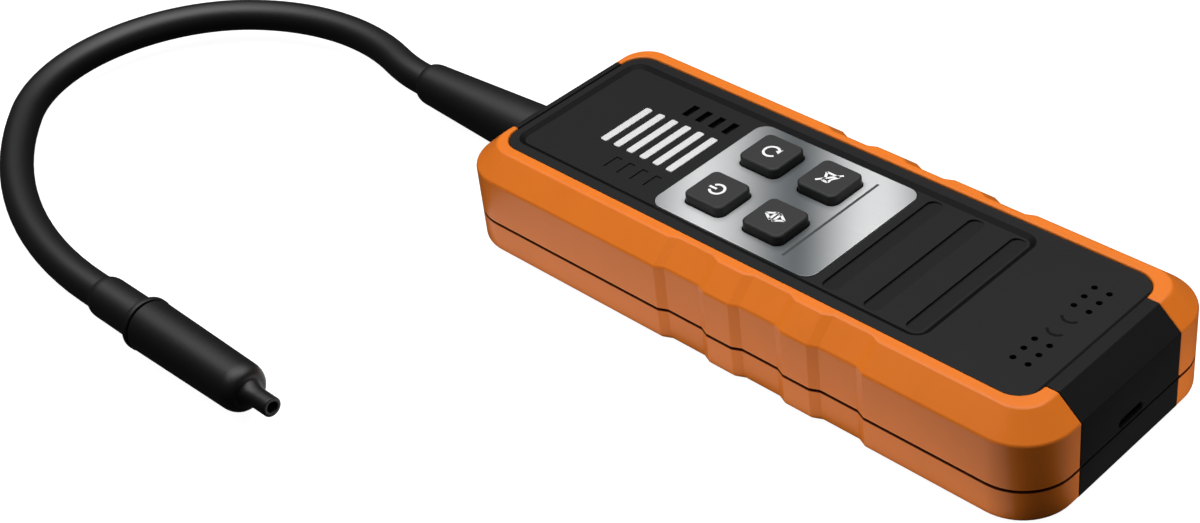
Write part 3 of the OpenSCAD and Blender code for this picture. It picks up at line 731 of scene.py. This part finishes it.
@dataclass(frozen=True)
class FrontPanel:
    """The panel in the case's top, with its sunken tray, thumb steps and holes."""

    finish: Finish
    # Near-black finish that paints shade on the panel's walls and deep slots; the sound sign and the
    # joint's painted shadow line use it too
    wall: Finish
    rim_round: float = 0.45 * MM
    rim_in: float = 4.4 * MM
    tray_end: float = 49.65 * MM
    tray_wall: float = 1.5 * MM
    hole_round: float = 0.1 * MM
    speaker_start: float = 60 * MM
    # Faces steeper than this, and faces deeper than slot_depth, get painted shade, except the tray's end
    # and the thumb steps
    painted_shade_tilt: float = 0.96
    edge_depth: float = 1 * MM
    end_lean: float = -0.2
    end_tilt: Pair = (0.5, 0.87)
    slot_depth: float = 1.6 * MM
    step_start: float = 18 * MM
    step_top: float = 0.75 * MM
    sign_in: float = 8.75 * MM
    sign_places: Pair = (-1.6 * MM, 3.8 * MM)
    sign_radius: float = 2.2 * MM
    sign_turn: float = math.radians(130)
    sign_width: float = 0.7 * MM
    # Width of the dark line that paints the shadow at the panel's end joint
    joint_shadow_width: float = 0.5 * MM

    def build(self, bench: Workbench) -> None:
        """Builds the panel.

        Args:
            bench: The workbench.
        """
        low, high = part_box("front_panel")
        floor = high.z - self.edge_depth

        def on_rim(edge: BMEdge) -> bool:
            """Tells the outline and the tray's wall from the rest.

            Args:
                edge: An edge of the panel.

            Returns:
                Whether it lies on one of them.
            """
            spot = middle(edge)
            inset = min(spot.x - low.x, high.x - spot.x, spot.y - low.y, high.y - spot.y)
            wall = self.tray_end - self.tray_wall - MERGE <= spot.x <= self.tray_end + MERGE
            return spot.z > floor and (inset < self.rim_in or wall)

        def on_speaker(edge: BMEdge) -> bool:
            """Tells the upper rims of the speaker holes from the rest."""
            spot = middle(edge)
            return spot.x > self.speaker_start and spot.z > floor and high.x - spot.x > self.rim_in

        def in_painted_shade(face: BMFace) -> bool:
            """Tells walls and deep slots, which get painted shade, from the rest, but not the tray's end
            or the thumb steps.

            Args:
                face: A face of the panel.

            Returns:
                Whether it is one of them.
            """
            spot, normal = face.calc_center_median(), face.normal
            if normal.x < self.end_lean and self.end_tilt[0] < normal.z < self.end_tilt[1]:
                return False
            if self.step_start < spot.x < self.tray_end and spot.z < high.z - self.step_top:
                return False
            return normal.z < self.painted_shade_tilt or spot.z < high.z - self.slot_depth

        mesh = bench.copy("front_panel", whole=False)
        round_edges(mesh, self.rim_round, on_rim)
        round_edges(mesh, self.hole_round, on_speaker, 2)
        # Walls and deep slots get the near-black finish that paints their shade
        mark(mesh, in_painted_shade)
        joint = max(vert.co.y for vert in mesh.verts if vert.co.x > high.x - self.rim_round)
        name = "front_panel_moulding"
        bench.place(name, mesh, self.finish, Body.CASE, ["front_panel"], painted_shade_coat=self.wall)
        self._sound_sign(bench, Vector((high.x - self.sign_in, 0, high.z)))
        # A dark line along the panel's end paints the shadow in the gap at its joint
        pen = InkPen(self.joint_shadow_width)
        pen.bar((-joint, 0), (joint, 0))
        spot = Vector((high.x - self.joint_shadow_width / 2, 0, high.z))
        bench.place("panel_joint_painted_shadow", pen.ink(spot), self.wall, Body.CASE)

    def _sound_sign(self, bench: Workbench, spot: Vector) -> None:
        """Draws two sound waves between the speaker holes.

        Args:
            bench: The workbench.
            spot: Middle of the sign.
        """
        pen = InkPen(self.sign_width)
        for place in self.sign_places:
            pen.arc(self.sign_radius, math.pi - self.sign_turn / 2, self.sign_turn, (place, 0))
        bench.place("sound_sign", pen.ink(spot), self.wall, Body.CASE)


@dataclass(frozen=True)
class Indicator:
    """The light bars and the base that joins them."""

    finish: Finish
    corner_round: float = 0.55 * MM
    top_round: float = 0.12 * MM
    bar_rise: float = 1 * MM

    def build(self, bench: Workbench) -> None:
        """Builds the bars.

        Args:
            bench: The workbench.
        """
        _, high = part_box("light_guide")

        def upright(edge: BMEdge) -> bool:
            """Tells the bars' upright edges from the rest."""
            first, last = (vert.co for vert in edge.verts)
            return max(first.z, last.z) > high.z - MERGE and abs(first.z - last.z) > self.bar_rise

        mesh = bench.copy("light_guide")
        round_edges(mesh, self.corner_round, upright, 4)
        round_edges(mesh, self.top_round, lambda edge: middle(edge).z > high.z - MERGE, 2)
        bench.place("light_bars", mesh, self.finish, Body.CASE, ["light_guide"])


@dataclass(frozen=True)
class KeySigns:
    """The plain signs on the keys."""

    stroke: float = 0.68 * MM
    ring: float = 1.85 * MM
    ring_gap: float = math.radians(33)
    ring_bar: Pair = (0.185 * MM, 2.405 * MM)
    turn_ring: float = 2 * MM
    turn_start: float = math.radians(235)
    turn: float = math.radians(-280)
    head: float = 0.95 * MM
    head_length: float = 1.52 * MM
    arrow_half: float = 1.6 * MM
    arrow_tip: float = 2.8 * MM
    arrow_foot: float = 0.25 * MM
    horn_back: Pair = (-1.805 * MM, 0.855 * MM)
    horn_throat: Pair = (-0.475 * MM, 0.855 * MM)
    horn_mouth: Pair = (1.425 * MM, 1.9 * MM)
    slash: Pair = (2.565 * MM, 2.28 * MM)

    def power(self, pen: InkPen) -> None:
        """Open ring with a bar in its gap."""
        pen.arc(self.ring, math.pi / 2 + self.ring_gap, math.tau - 2 * self.ring_gap)
        pen.bar(*((0, end) for end in self.ring_bar))

    def reset(self, pen: InkPen) -> None:
        """Round arrow that runs clockwise.

        Args:
            pen: The pen.
        """
        ring, tip = self.turn_ring, self.turn_start + self.turn
        pen.arc(ring, self.turn_start, self.turn)
        corners = [(ring - self.head, tip), (ring + self.head, tip), (ring, tip - self.head_length / ring)]
        pen.patch([(radius * math.cos(angle), radius * math.sin(angle)) for radius, angle in corners])

    def sensitivity(self, pen: InkPen) -> None:
        """Arrowheads up and down.

        Args:
            pen: The pen.
        """
        for way in (1, -1):
            foot, tip = way * self.arrow_foot, way * self.arrow_tip
            base = foot + way * self.stroke / 2
            pen.bar((-self.arrow_half, base), (self.arrow_half, base))
            for side in (-1, 1):
                pen.bar((side * self.arrow_half, foot), (0, tip))

    def mute(self, pen: InkPen) -> None:
        """Loudspeaker with a line through it.

        Args:
            pen: The pen.
        """
        upper = [self.horn_back, self.horn_throat, self.horn_mouth]
        horn = upper + [(along, -half) for along, half in reversed(upper)]
        for first, last in zip(horn, horn[1:] + horn[:1]):
            pen.bar(first, last)
        along, half = self.slash
        pen.bar((-along, half), (along, -half))


@dataclass(frozen=True)
class Keypad:
    """The metal plate with its four keys and their signs."""

    plate: Finish
    rubber: Finish
    # Darker copy of the key rubber that paints shade on the keys' sides
    wall: Finish
    ink: Finish
    line: Finish
    signs: KeySigns
    plate_round: float = 0.12 * MM
    key_round: float = 0.15 * MM
    # Key faces steeper than this get the painted shade of the sides
    painted_shade_tilt: float = 0.3
    line_place: float = 5.9 * MM
    line_half: float = 17.3 * MM
    line_width: float = 0.7 * MM

    def build(self, bench: Workbench) -> None:
        """Builds the plate, its dividing line, the keys and the signs.

        Args:
            bench: The workbench.
        """
        _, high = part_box("keypad_plate")
        mesh = bench.copy("keypad_plate")
        round_edges(mesh, self.plate_round, lambda edge: middle(edge).z > high.z - MERGE, 2)
        bench.place("keypad_plate_sheet", mesh, self.plate, Body.CASE, ["keypad_plate"])
        self._line(bench, high.z)
        drawings = {
            Body.POWER: self.signs.power,
            Body.RESET: self.signs.reset,
            Body.SENSITIVITY: self.signs.sensitivity,
            Body.MUTE: self.signs.mute,
        }
        for body, draw in drawings.items():
            low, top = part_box(body.value)
            mesh = bench.copy(body.value)
            round_edges(mesh, self.key_round, lambda edge: middle(edge).z > high.z + self.key_round, 4)
            # The keys' sides get the darker copy of the rubber that paints their shade
            mark(mesh, lambda face: abs(face.normal.z) < self.painted_shade_tilt)
            bench.place(f"{body.value}_key", mesh, self.rubber, body, [body.value], painted_shade_coat=self.wall)
            pen = InkPen(self.signs.stroke)
            draw(pen)
            spot = Vector(((low.x + top.x) / 2, (low.y + top.y) / 2, top.z))
            bench.place(f"{body.value}_sign", pen.ink(spot), self.ink, body)

    def _line(self, bench: Workbench, top: float) -> None:
        """Lays the dividing line across the plate.

        Args:
            bench: The workbench.
            top: Height of the plate's top.
        """
        pen = InkPen(self.line_width)
        pen.bar((-self.line_half, 0), (self.line_half, 0))
        spot = Vector((self.line_place, 0, top))
        bench.place("keypad_line", pen.ink(spot), self.line, Body.CASE)


@dataclass(frozen=True)
class Bend:
    """One bend of the neck."""

    radius: float
    angle: float


@dataclass(frozen=True)
class Gooseneck:
    """The bendable neck: a tube that runs out of the case and round to the probe."""

    finish: Finish
    bends: Sequence[Bend]
    lead: float = 65.1 * MM
    tail: float = 22.5 * MM
    sides: int = 40
    step: float = math.radians(2.5)

    def build(self, bench: Workbench) -> None:
        """Builds the neck.

        Args:
            bench: The workbench.
        """
        low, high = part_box("gooseneck")
        radius = (high.z - low.z) / 2
        place, heading = Vector((high.x, 0, low.z + radius)), math.pi
        mesh = bmesh.new()
        upright = Matrix.Translation(place) @ Matrix.Rotation(math.pi / 2, 4, "Y")
        bmesh.ops.create_circle(mesh, cap_ends=False, segments=self.sides, radius=radius, matrix=upright)
        ring, place = self._run(mesh, mesh.edges[:], place, heading, self.lead)
        for bend in self.bends:
            ring, place, heading = self._bend(mesh, ring, place, heading, bend)
        self._run(mesh, ring, place, heading, self.tail)
        bmesh.ops.holes_fill(mesh, edges=[e for e in mesh.edges if e.is_boundary], sides=0)
        bmesh.ops.recalc_face_normals(mesh, faces=mesh.faces)
        bench.place("neck_tube", mesh, self.finish, Body.CASE, ["gooseneck"])

    @staticmethod
    def _run(
        mesh: BMesh, ring: list[BMEdge], place: Vector, heading: float, length: float
    ) -> tuple[list[BMEdge], Vector]:
        """Draws the tube straight on.

        Args:
            mesh: The tube.
            ring: Its open end.
            place: Middle of that end.
            heading: Direction of the tube.
            length: How far it runs.

        Returns:
            The new end and its middle.
        """
        ahead = length * Vector((math.cos(heading), math.sin(heading), 0))
        drawn = bmesh.ops.extrude_edge_only(mesh, edges=ring)
        moved = set(new_parts(drawn, BMVert))
        bmesh.ops.translate(mesh, verts=list(moved), vec=ahead)
        return [e for e in new_parts(drawn, BMEdge) if moved.issuperset(e.verts)], place + ahead

    def _bend(
        self, mesh: BMesh, ring: list[BMEdge], place: Vector, heading: float, bend: Bend
    ) -> tuple[list[BMEdge], Vector, float]:
        """Draws the tube round a bend.

        Args:
            mesh: The tube.
            ring: Its open end.
            place: Middle of that end.
            heading: Direction of the tube.
            bend: The bend.

        Returns:
            The new end, its middle and its direction.
        """
        side = math.copysign(bend.radius, bend.angle)
        centre = place + side * Vector((-math.sin(heading), math.cos(heading), 0))
        verts = list({vert for edge in ring for vert in edge.verts})
        spun = bmesh.ops.spin(
            mesh,
            geom=verts + ring,
            cent=centre,
            axis=(0, 0, 1),
            angle=bend.angle,
            steps=math.ceil(abs(bend.angle) / self.step),
        )
        last = [part for part in spun["geom_last"] if isinstance(part, BMEdge)]
        heading += bend.angle
        return last, centre - side * Vector((-math.sin(heading), math.cos(heading), 0)), heading


@dataclass(frozen=True)
class NeckBoot:
    """The tapered boot round the neck where it leaves the case."""

    finish: Finish
    bore: float = 4.6 * MM
    flange: float = 6.3 * MM
    flange_depth: float = 1.6 * MM
    waist: float = 5.7 * MM
    wall: float = 4 * MM
    root: float = 8.5 * MM
    root_length: float = 1.5 * MM
    tip: float = 6 * MM
    tip_length: float = 3.5 * MM
    lip: float = 0.3 * MM
    length: float = 52 * MM
    corner: float = 0.6 * MM
    rim_share: float = 0.95

    def build(self, bench: Workbench) -> None:
        """Builds the boot.

        Args:
            bench: The workbench.
        """
        low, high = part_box("neck_boot")
        back = -self.wall - self.flange_depth
        start = Vector((high.x + back, 0, (low.z + high.z) / 2))
        shoulder = (self.length - self.tip_length, self.tip)
        end = (self.length, self.bore + self.lip)
        profile = [
            (back, self.bore),
            (back, self.flange),
            (-self.wall, self.flange),
            (-self.wall, self.waist),
            (0, self.waist),
            (0, self.root),
            (self.root_length, self.root),
            shoulder,
            *quarter(shoulder, end),
            (self.length, self.bore),
            (back, self.bore),
        ]
        mesh = turned(profile, start, Vector((-1, 0, 0)))
        round_edges(mesh, self.corner, lambda edge: self._rim(edge, start))
        bench.place("neck_boot_moulding", mesh, self.finish, Body.CASE, ["neck_boot"])

    def _rim(self, edge: BMEdge, start: Vector) -> bool:
        """Tells the rim at the case from the boot's other edges."""
        spot = middle(edge) - start
        return math.hypot(spot.y, spot.z) > self.rim_share * self.root and abs(spot.x) < self.corner


@dataclass(frozen=True)
class Probe:
    """The probe: a sleeve on the neck, a collar with a spigot, and the pull-off cap."""

    sleeve: Finish
    plastic: Finish
    bore: float = 4.6 * MM
    sleeve_tip: float = 4.9 * MM
    sleeve_radius: float = 5.5 * MM
    sleeve_tip_length: float = 2.5 * MM
    ring: float = 7 * MM
    ring_length: float = 2.7 * MM
    flare: float = 1.2 * MM
    spigot: float = 5.3 * MM
    groove: Pair = (6.45 * MM, 7.95 * MM)
    groove_floor: float = 3.8 * MM
    cap: float = 6.8 * MM
    cap_tip: float = 6.25 * MM
    cap_bore: float = 5.6 * MM
    cap_bore_length: float = 19.9 * MM
    barrel: float = 35.5 * MM
    bulge_end: Pair = (39.5 * MM, 3.8 * MM)
    nozzle_start: float = 43.5 * MM
    nozzle: float = 2.5 * MM
    nozzle_bore: float = 1.4 * MM
    ring_round: float = 0.35 * MM
    rim_round: float = 0.3 * MM

    def build(self, bench: Workbench) -> None:
        """Builds the three pieces.

        Args:
            bench: The workbench.
        """
        self._sleeve(bench)
        self._collar(bench)
        self._cap(bench)

    @staticmethod
    def _axis(node: str) -> tuple[Vector, float]:
        """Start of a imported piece's axis, and its length."""
        low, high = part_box(node)
        return Vector((low.x, (low.y + high.y) / 2, (low.z + high.z) / 2)), high.x - low.x

    def _sleeve(self, bench: Workbench) -> None:
        """Builds the sleeve, with its rounded thin end.

        Args:
            bench: The workbench.
        """
        start, length = self._axis("probe_sleeve")
        shoulder = (self.sleeve_tip_length, self.sleeve_radius)
        profile = [
            (length, self.bore),
            (length, self.sleeve_radius),
            shoulder,
            *quarter(shoulder, (0, self.sleeve_tip)),
            (0, self.bore),
            (length, self.bore),
        ]
        mesh = turned(profile, start, Vector((1, 0, 0)))
        bench.place("probe_sleeve_moulding", mesh, self.sleeve, Body.CASE, ["probe_sleeve"])

    def _collar(self, bench: Workbench) -> None:
        """Builds the collar, with its flared ring and the groove for the seal.

        Args:
            bench: The workbench.
        """
        start, length = self._axis("probe_collar")
        first, last = self.groove
        profile = [
            (0, 0),
            (0, self.sleeve_radius),
            (self.flare, self.ring),
            (self.ring_length, self.ring),
            (self.ring_length, self.spigot),
            (first, self.spigot),
            (first, self.groove_floor),
            (last, self.groove_floor),
            (last, self.spigot),
            (length, self.spigot),
            (length, 0),
        ]
        mesh = turned(profile, start, Vector((1, 0, 0)))
        limit = self.ring - self.ring_round

        def on_ring(edge: BMEdge) -> bool:
            """Tells the ring's two outer edges from the rest."""
            spot, (first, last) = middle(edge) - start, edge.verts
            return math.hypot(spot.y, spot.z) > limit and abs(first.co.x - last.co.x) < MERGE

        round_edges(mesh, self.ring_round, on_ring)
        bench.place("probe_collar_moulding", mesh, self.plastic, Body.CASE, ["probe_collar"])

    def _cap(self, bench: Workbench) -> None:
        """Builds the cap, with its rounded shoulder, its nozzle and its bore.

        Args:
            bench: The workbench.
        """
        start, length = self._axis("probe_cap")
        shoulder, neck = (self.barrel, self.cap_tip), (self.nozzle_start, self.nozzle)
        bulge = quarter(shoulder, self.bulge_end)
        hollow = quarter(neck, self.bulge_end)[-2::-1]
        profile = [
            (0, self.cap_bore),
            (0, self.cap),
            shoulder,
            *bulge,
            *hollow,
            neck,
            (length, self.nozzle),
            (length, self.nozzle_bore),
            (self.bulge_end[0], self.nozzle_bore),
            (self.cap_bore_length, self.spigot),
            (self.cap_bore_length, self.cap_bore),
            (0, self.cap_bore),
        ]
        mesh = turned(profile, start, Vector((1, 0, 0)))

        def on_rim(edge: BMEdge) -> bool:
            """Tells the rims at both ends from the rest."""
            along = middle(edge).x - start.x
            return along < MERGE or along > length - MERGE

        round_edges(mesh, self.rim_round, on_rim)
        bench.place("probe_cap_moulding", mesh, self.plastic, Body.CAP, ["probe_cap"])


@dataclass(frozen=True)
class PhotoCamera:
    """Camera at the photograph's viewing angle."""

    place: Vector
    azimuth: float
    elevation: float
    roll: float
    lens: float
    shift: Pair
    clip: Pair = (0.01, 50.0)

    def build(self) -> None:
        """Builds the camera and makes it the scene's own."""
        turn, rise, roll = (math.radians(a) for a in (self.azimuth, self.elevation, self.roll))
        back = Vector((math.sin(turn) * math.cos(rise), -math.cos(turn) * math.cos(rise), math.sin(rise)))
        right = Vector((math.cos(turn), math.sin(turn), 0))
        up = back.cross(right)
        level = math.cos(roll) * right + math.sin(roll) * up
        upright = math.cos(roll) * up - math.sin(roll) * right
        data = bpy.data.cameras.new("photo_camera")
        data.lens = self.lens
        data.shift_x, data.shift_y = self.shift
        data.clip_start, data.clip_end = self.clip
        stand = standing(self.place, level, upright, back)
        bpy.context.scene.camera = add_object("photo_camera", data, stand)


@dataclass(frozen=True)
class SoftBox:
    """A rectangular studio lamp that no camera sees."""

    name: str
    place: Vector
    back: Vector
    across: Vector
    size: Pair
    radiance: float
    in_gloss: bool = True
    in_diffuse: bool = True

    def build(self) -> None:
        """Builds the lamp."""
        data = bpy.data.lights.new(self.name, "AREA")
        data.shape = "RECTANGLE"
        data.size, data.size_y = self.size
        data.energy = self.radiance * math.pi * self.size[0] * self.size[1]
        side = self.across.normalized()
        lamp = add_object(self.name, data, standing(self.place, side, self.back.cross(side), self.back))
        lamp.visible_camera = False
        lamp.visible_glossy = self.in_gloss
        lamp.visible_diffuse = self.in_diffuse


@dataclass(frozen=True)
class Studio:
    """White floor and surround, soft lamps and the camera."""

    camera: PhotoCamera
    lamps: Sequence[SoftBox]
    floor_half: float = 3.0
    floor_drop: float = 0.2 * MM
    floor_paint: float = 0.3
    floor_glow: float = 0.97
    surround_radius: float = 6.0
    fill: float = 0.03

    def build(self) -> None:
        """Builds the studio."""
        scene = bpy.context.scene
        scene.view_settings.view_transform = "Standard"
        world = bpy.data.worlds.new("studio")
        world.use_nodes = True
        sky = world.node_tree.nodes["Background"]
        sky.inputs["Color"].default_value = (1, 1, 1, 1)
        sky.inputs["Strength"].default_value = self.fill
        scene.world = world
        self.camera.build()
        for lamp in self.lamps:
            lamp.build()
        self._floor()
        self._surround()

    def _floor(self) -> None:
        """Lays the floor just under the part."""
        mesh = bmesh.new()
        bmesh.ops.create_grid(mesh, x_segments=1, y_segments=1, size=self.floor_half)
        bmesh.ops.translate(mesh, verts=mesh.verts, vec=(0, 0, -self.floor_drop))
        self._white(mesh, "floor", self.floor_paint, self.floor_glow)

    def _surround(self) -> None:
        """Closes the studio with a white surround behind everything."""
        mesh = bmesh.new()
        bmesh.ops.create_icosphere(mesh, subdivisions=4, radius=self.surround_radius)
        bmesh.ops.reverse_faces(mesh, faces=mesh.faces)
        self._white(mesh, "surround", 0.0, 1.0)

    @staticmethod
    def _white(mesh: BMesh, name: str, paint: float, glow: float) -> None:
        """Makes a mesh a white piece of the studio that only the camera sees.

        Args:
            mesh: The mesh, which is used up.
            name: Name of the piece.
            paint: Share of the lamps' light that it gives back.
            glow: Light of its own.
        """
        data = bpy.data.meshes.new(name)
        mesh.to_mesh(data)
        mesh.free()
        white = {"Base Color": (paint, paint, paint, 1.0), "Roughness": 1.0, "Specular IOR Level": 0.0}
        light = {"Emission Color": (1.0, 1.0, 1.0, 1.0), "Emission Strength": glow}
        data.materials.append(ShaderTree(f"white_{name}").surface(white | light))
        piece = add_object(name, data)
        piece.visible_diffuse = piece.visible_glossy = piece.visible_shadow = False


GRIP = Moulded("soft_grip", "grip_rubber", (0.78, 0.19, 0.018), 0.32, specular=0.18)
HOUSING = Moulded("housing_black", "housing_plastic", (0.0098, 0.0098, 0.0101), 0.5, specular=0.1)
PANEL = Moulded("panel_charcoal", "panel_plastic", (0.0136, 0.0136, 0.0138), 0.45, specular=0.1)
KEY = Moulded("key_charcoal", "key_rubber", (0.0225, 0.0225, 0.0227), 0.5, specular=0.3)
# Darker copy of the key rubber that paints shade on the keys' sides
KEY_PAINTED_SHADE = Moulded("key_wall_painted_shade", "key_rubber", (0.018, 0.018, 0.0182), 0.5, specular=0.2)
# Near-black copy of the panel plastic that paints shade on walls and slots, and colours the sound sign and
# the joint's shadow line
PANEL_PAINTED_SHADE = Moulded("panel_wall_painted_shade", "panel_plastic", (0.0036, 0.0036, 0.0038), 0.5, specular=0.06)
# Dark brown copy of the grip rubber that paints the shade inside the parting line
PAINTED_PARTING_SHADE = Moulded("parting_line_painted_shade", "grip_rubber", (0.12, 0.028, 0.005), 0.6, specular=0.1)
SIGN = Moulded("sign_white", "guide_plastic", srgb(235, 235, 235), 0.5)
LINE = Moulded("line_grey", "panel_plastic", srgb(48, 50, 52), 0.5)
NECK = Moulded("neck_black", "neck_rubber", (0.0036, 0.0036, 0.0038), 0.44)
PROBE = Moulded("probe_black", "probe_plastic", (0.0036, 0.0036, 0.0038), 0.44, specular=0.4)
BAR = Moulded("bar_white", "guide_plastic", (0.66, 0.66, 0.66), 0.4)
LAMP = Moulded("lamp_cast", "lamp_white", srgb(235, 232, 215), 0.2)
BOARD = Moulded("board_mask", "board_green", srgb(24, 96, 60), 0.3)
SWITCH = Moulded("switch_moulding", "switch_black", srgb(40, 40, 40), 0.5)
WRAP = Moulded("battery_shrink", "battery_wrap", srgb(60, 100, 160), 0.3)
SEAL = Moulded("seal_black", "seal_rubber", srgb(16, 16, 16), 0.4)
FELT = Moulded("filter_white", "filter_felt", srgb(235, 235, 230), 0.95)
# Brushed plate whose colour holds a painted reflection of a dark band
PLATE = PaintedReflectionPlate(
    "plate_brushed_painted_reflection", "plate_metal", (0.665, 0.67, 0.675), 0.38, metallic=0.35, tone_spread=0.06
)
SOCKET = Brushed("socket_shell", "socket_steel", srgb(190, 190, 192), 0.3)
SCREW = Brushed("screw_zinc", "screw_steel", srgb(170, 170, 172), 0.35)
NUT = Brushed("nut_turned", "nut_brass", srgb(200, 165, 95), 0.35)
CAN = Brushed("sensor_can", "sensor_steel", srgb(190, 186, 178), 0.35)
BEND_TURNS = ((59, -15.6), (67, 49), (52, 52.4), (43, 49.2), (118, 45))
BENDS = [Bend(radius * MM, math.radians(angle)) for radius, angle in BEND_TURNS]
INSIDE = {
    LAMP: ["indicator_leds"],
    BOARD: ["circuit_board"],
    SWITCH: ["key_switches", "processor_chip", "buzzer"],
    SOCKET: ["charging_socket"],
    WRAP: ["battery"],
    SCREW: ["case_screws", "board_screws"],
    NUT: ["neck_nut"],
    SEAL: ["seal_ring"],
    CAN: ["sensor"],
    FELT: ["filter_disc"],
}


def studio_lamps() -> list[SoftBox]:
    """Soft lamps of the studio.

    Returns:
        A wide lamp overhead, one behind that only shines, and low cards that fill the sides.
    """
    across, deep = Vector((0.68, 0.73, 0)), Vector((-0.73, 0.68, 0))
    overhead = {
        "top_lamp": (0.03, (1.2, 0.6), 4.45, True),
        "back_lamp": (0.55, (1.6, 0.7), 1.5, False),
    }
    cards = {
        "left_card": ((-5.5, -73), (179, 74), 1.15, True),
        "right_card": ((140, 20), (100, 80), 1.6, False),
    }
    lamps = []
    for name, (away, size, radiance, in_diffuse) in overhead.items():
        spot = Vector((-0.06, -0.02, LAMP_HEIGHT)) + away * deep
        lamps.append(SoftBox(name, spot, UP, across, size, radiance, in_diffuse=in_diffuse))
    for name, ((x, y), size, radiance, in_gloss) in cards.items():
        spot = Vector((x * MM, y * MM, CARD_HEIGHT))
        span = (size[0] * MM, size[1] * MM)
        lamps.append(SoftBox(name, spot, -UP, Vector((1, 0, 0)), span, radiance, in_gloss))
    return lamps


def main() -> None:
    """Builds the pieces and the studio in order."""
    logging.basicConfig(level=logging.INFO, format="%(name)s %(message)s")
    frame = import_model()
    bench = Workbench(frame["nodes"])
    CaseShells(CaseForm.from_frame(), HOUSING, GRIP, PAINTED_PARTING_SHADE).build(bench)
    FrontPanel(PANEL, PANEL_PAINTED_SHADE).build(bench)
    Indicator(BAR).build(bench)
    Keypad(PLATE, KEY, KEY_PAINTED_SHADE, SIGN, LINE, KeySigns()).build(bench)
    Gooseneck(NECK, BENDS).build(bench)
    NeckBoot(NECK).build(bench)
    Probe(NECK, PROBE).build(bench)
    for finish, nodes in INSIDE.items():
        bench.dress(finish, *nodes)
    camera = PhotoCamera(
        place=Vector((275.5, -301.8, 325.5)) * MM,
        azimuth=47.6,
        elevation=36.1,
        roll=-6.3,
        lens=64.6,
        shift=(-0.045, -0.0346),
    )
    Studio(camera, studio_lamps()).build()


if __name__ == "__main__":
    main()
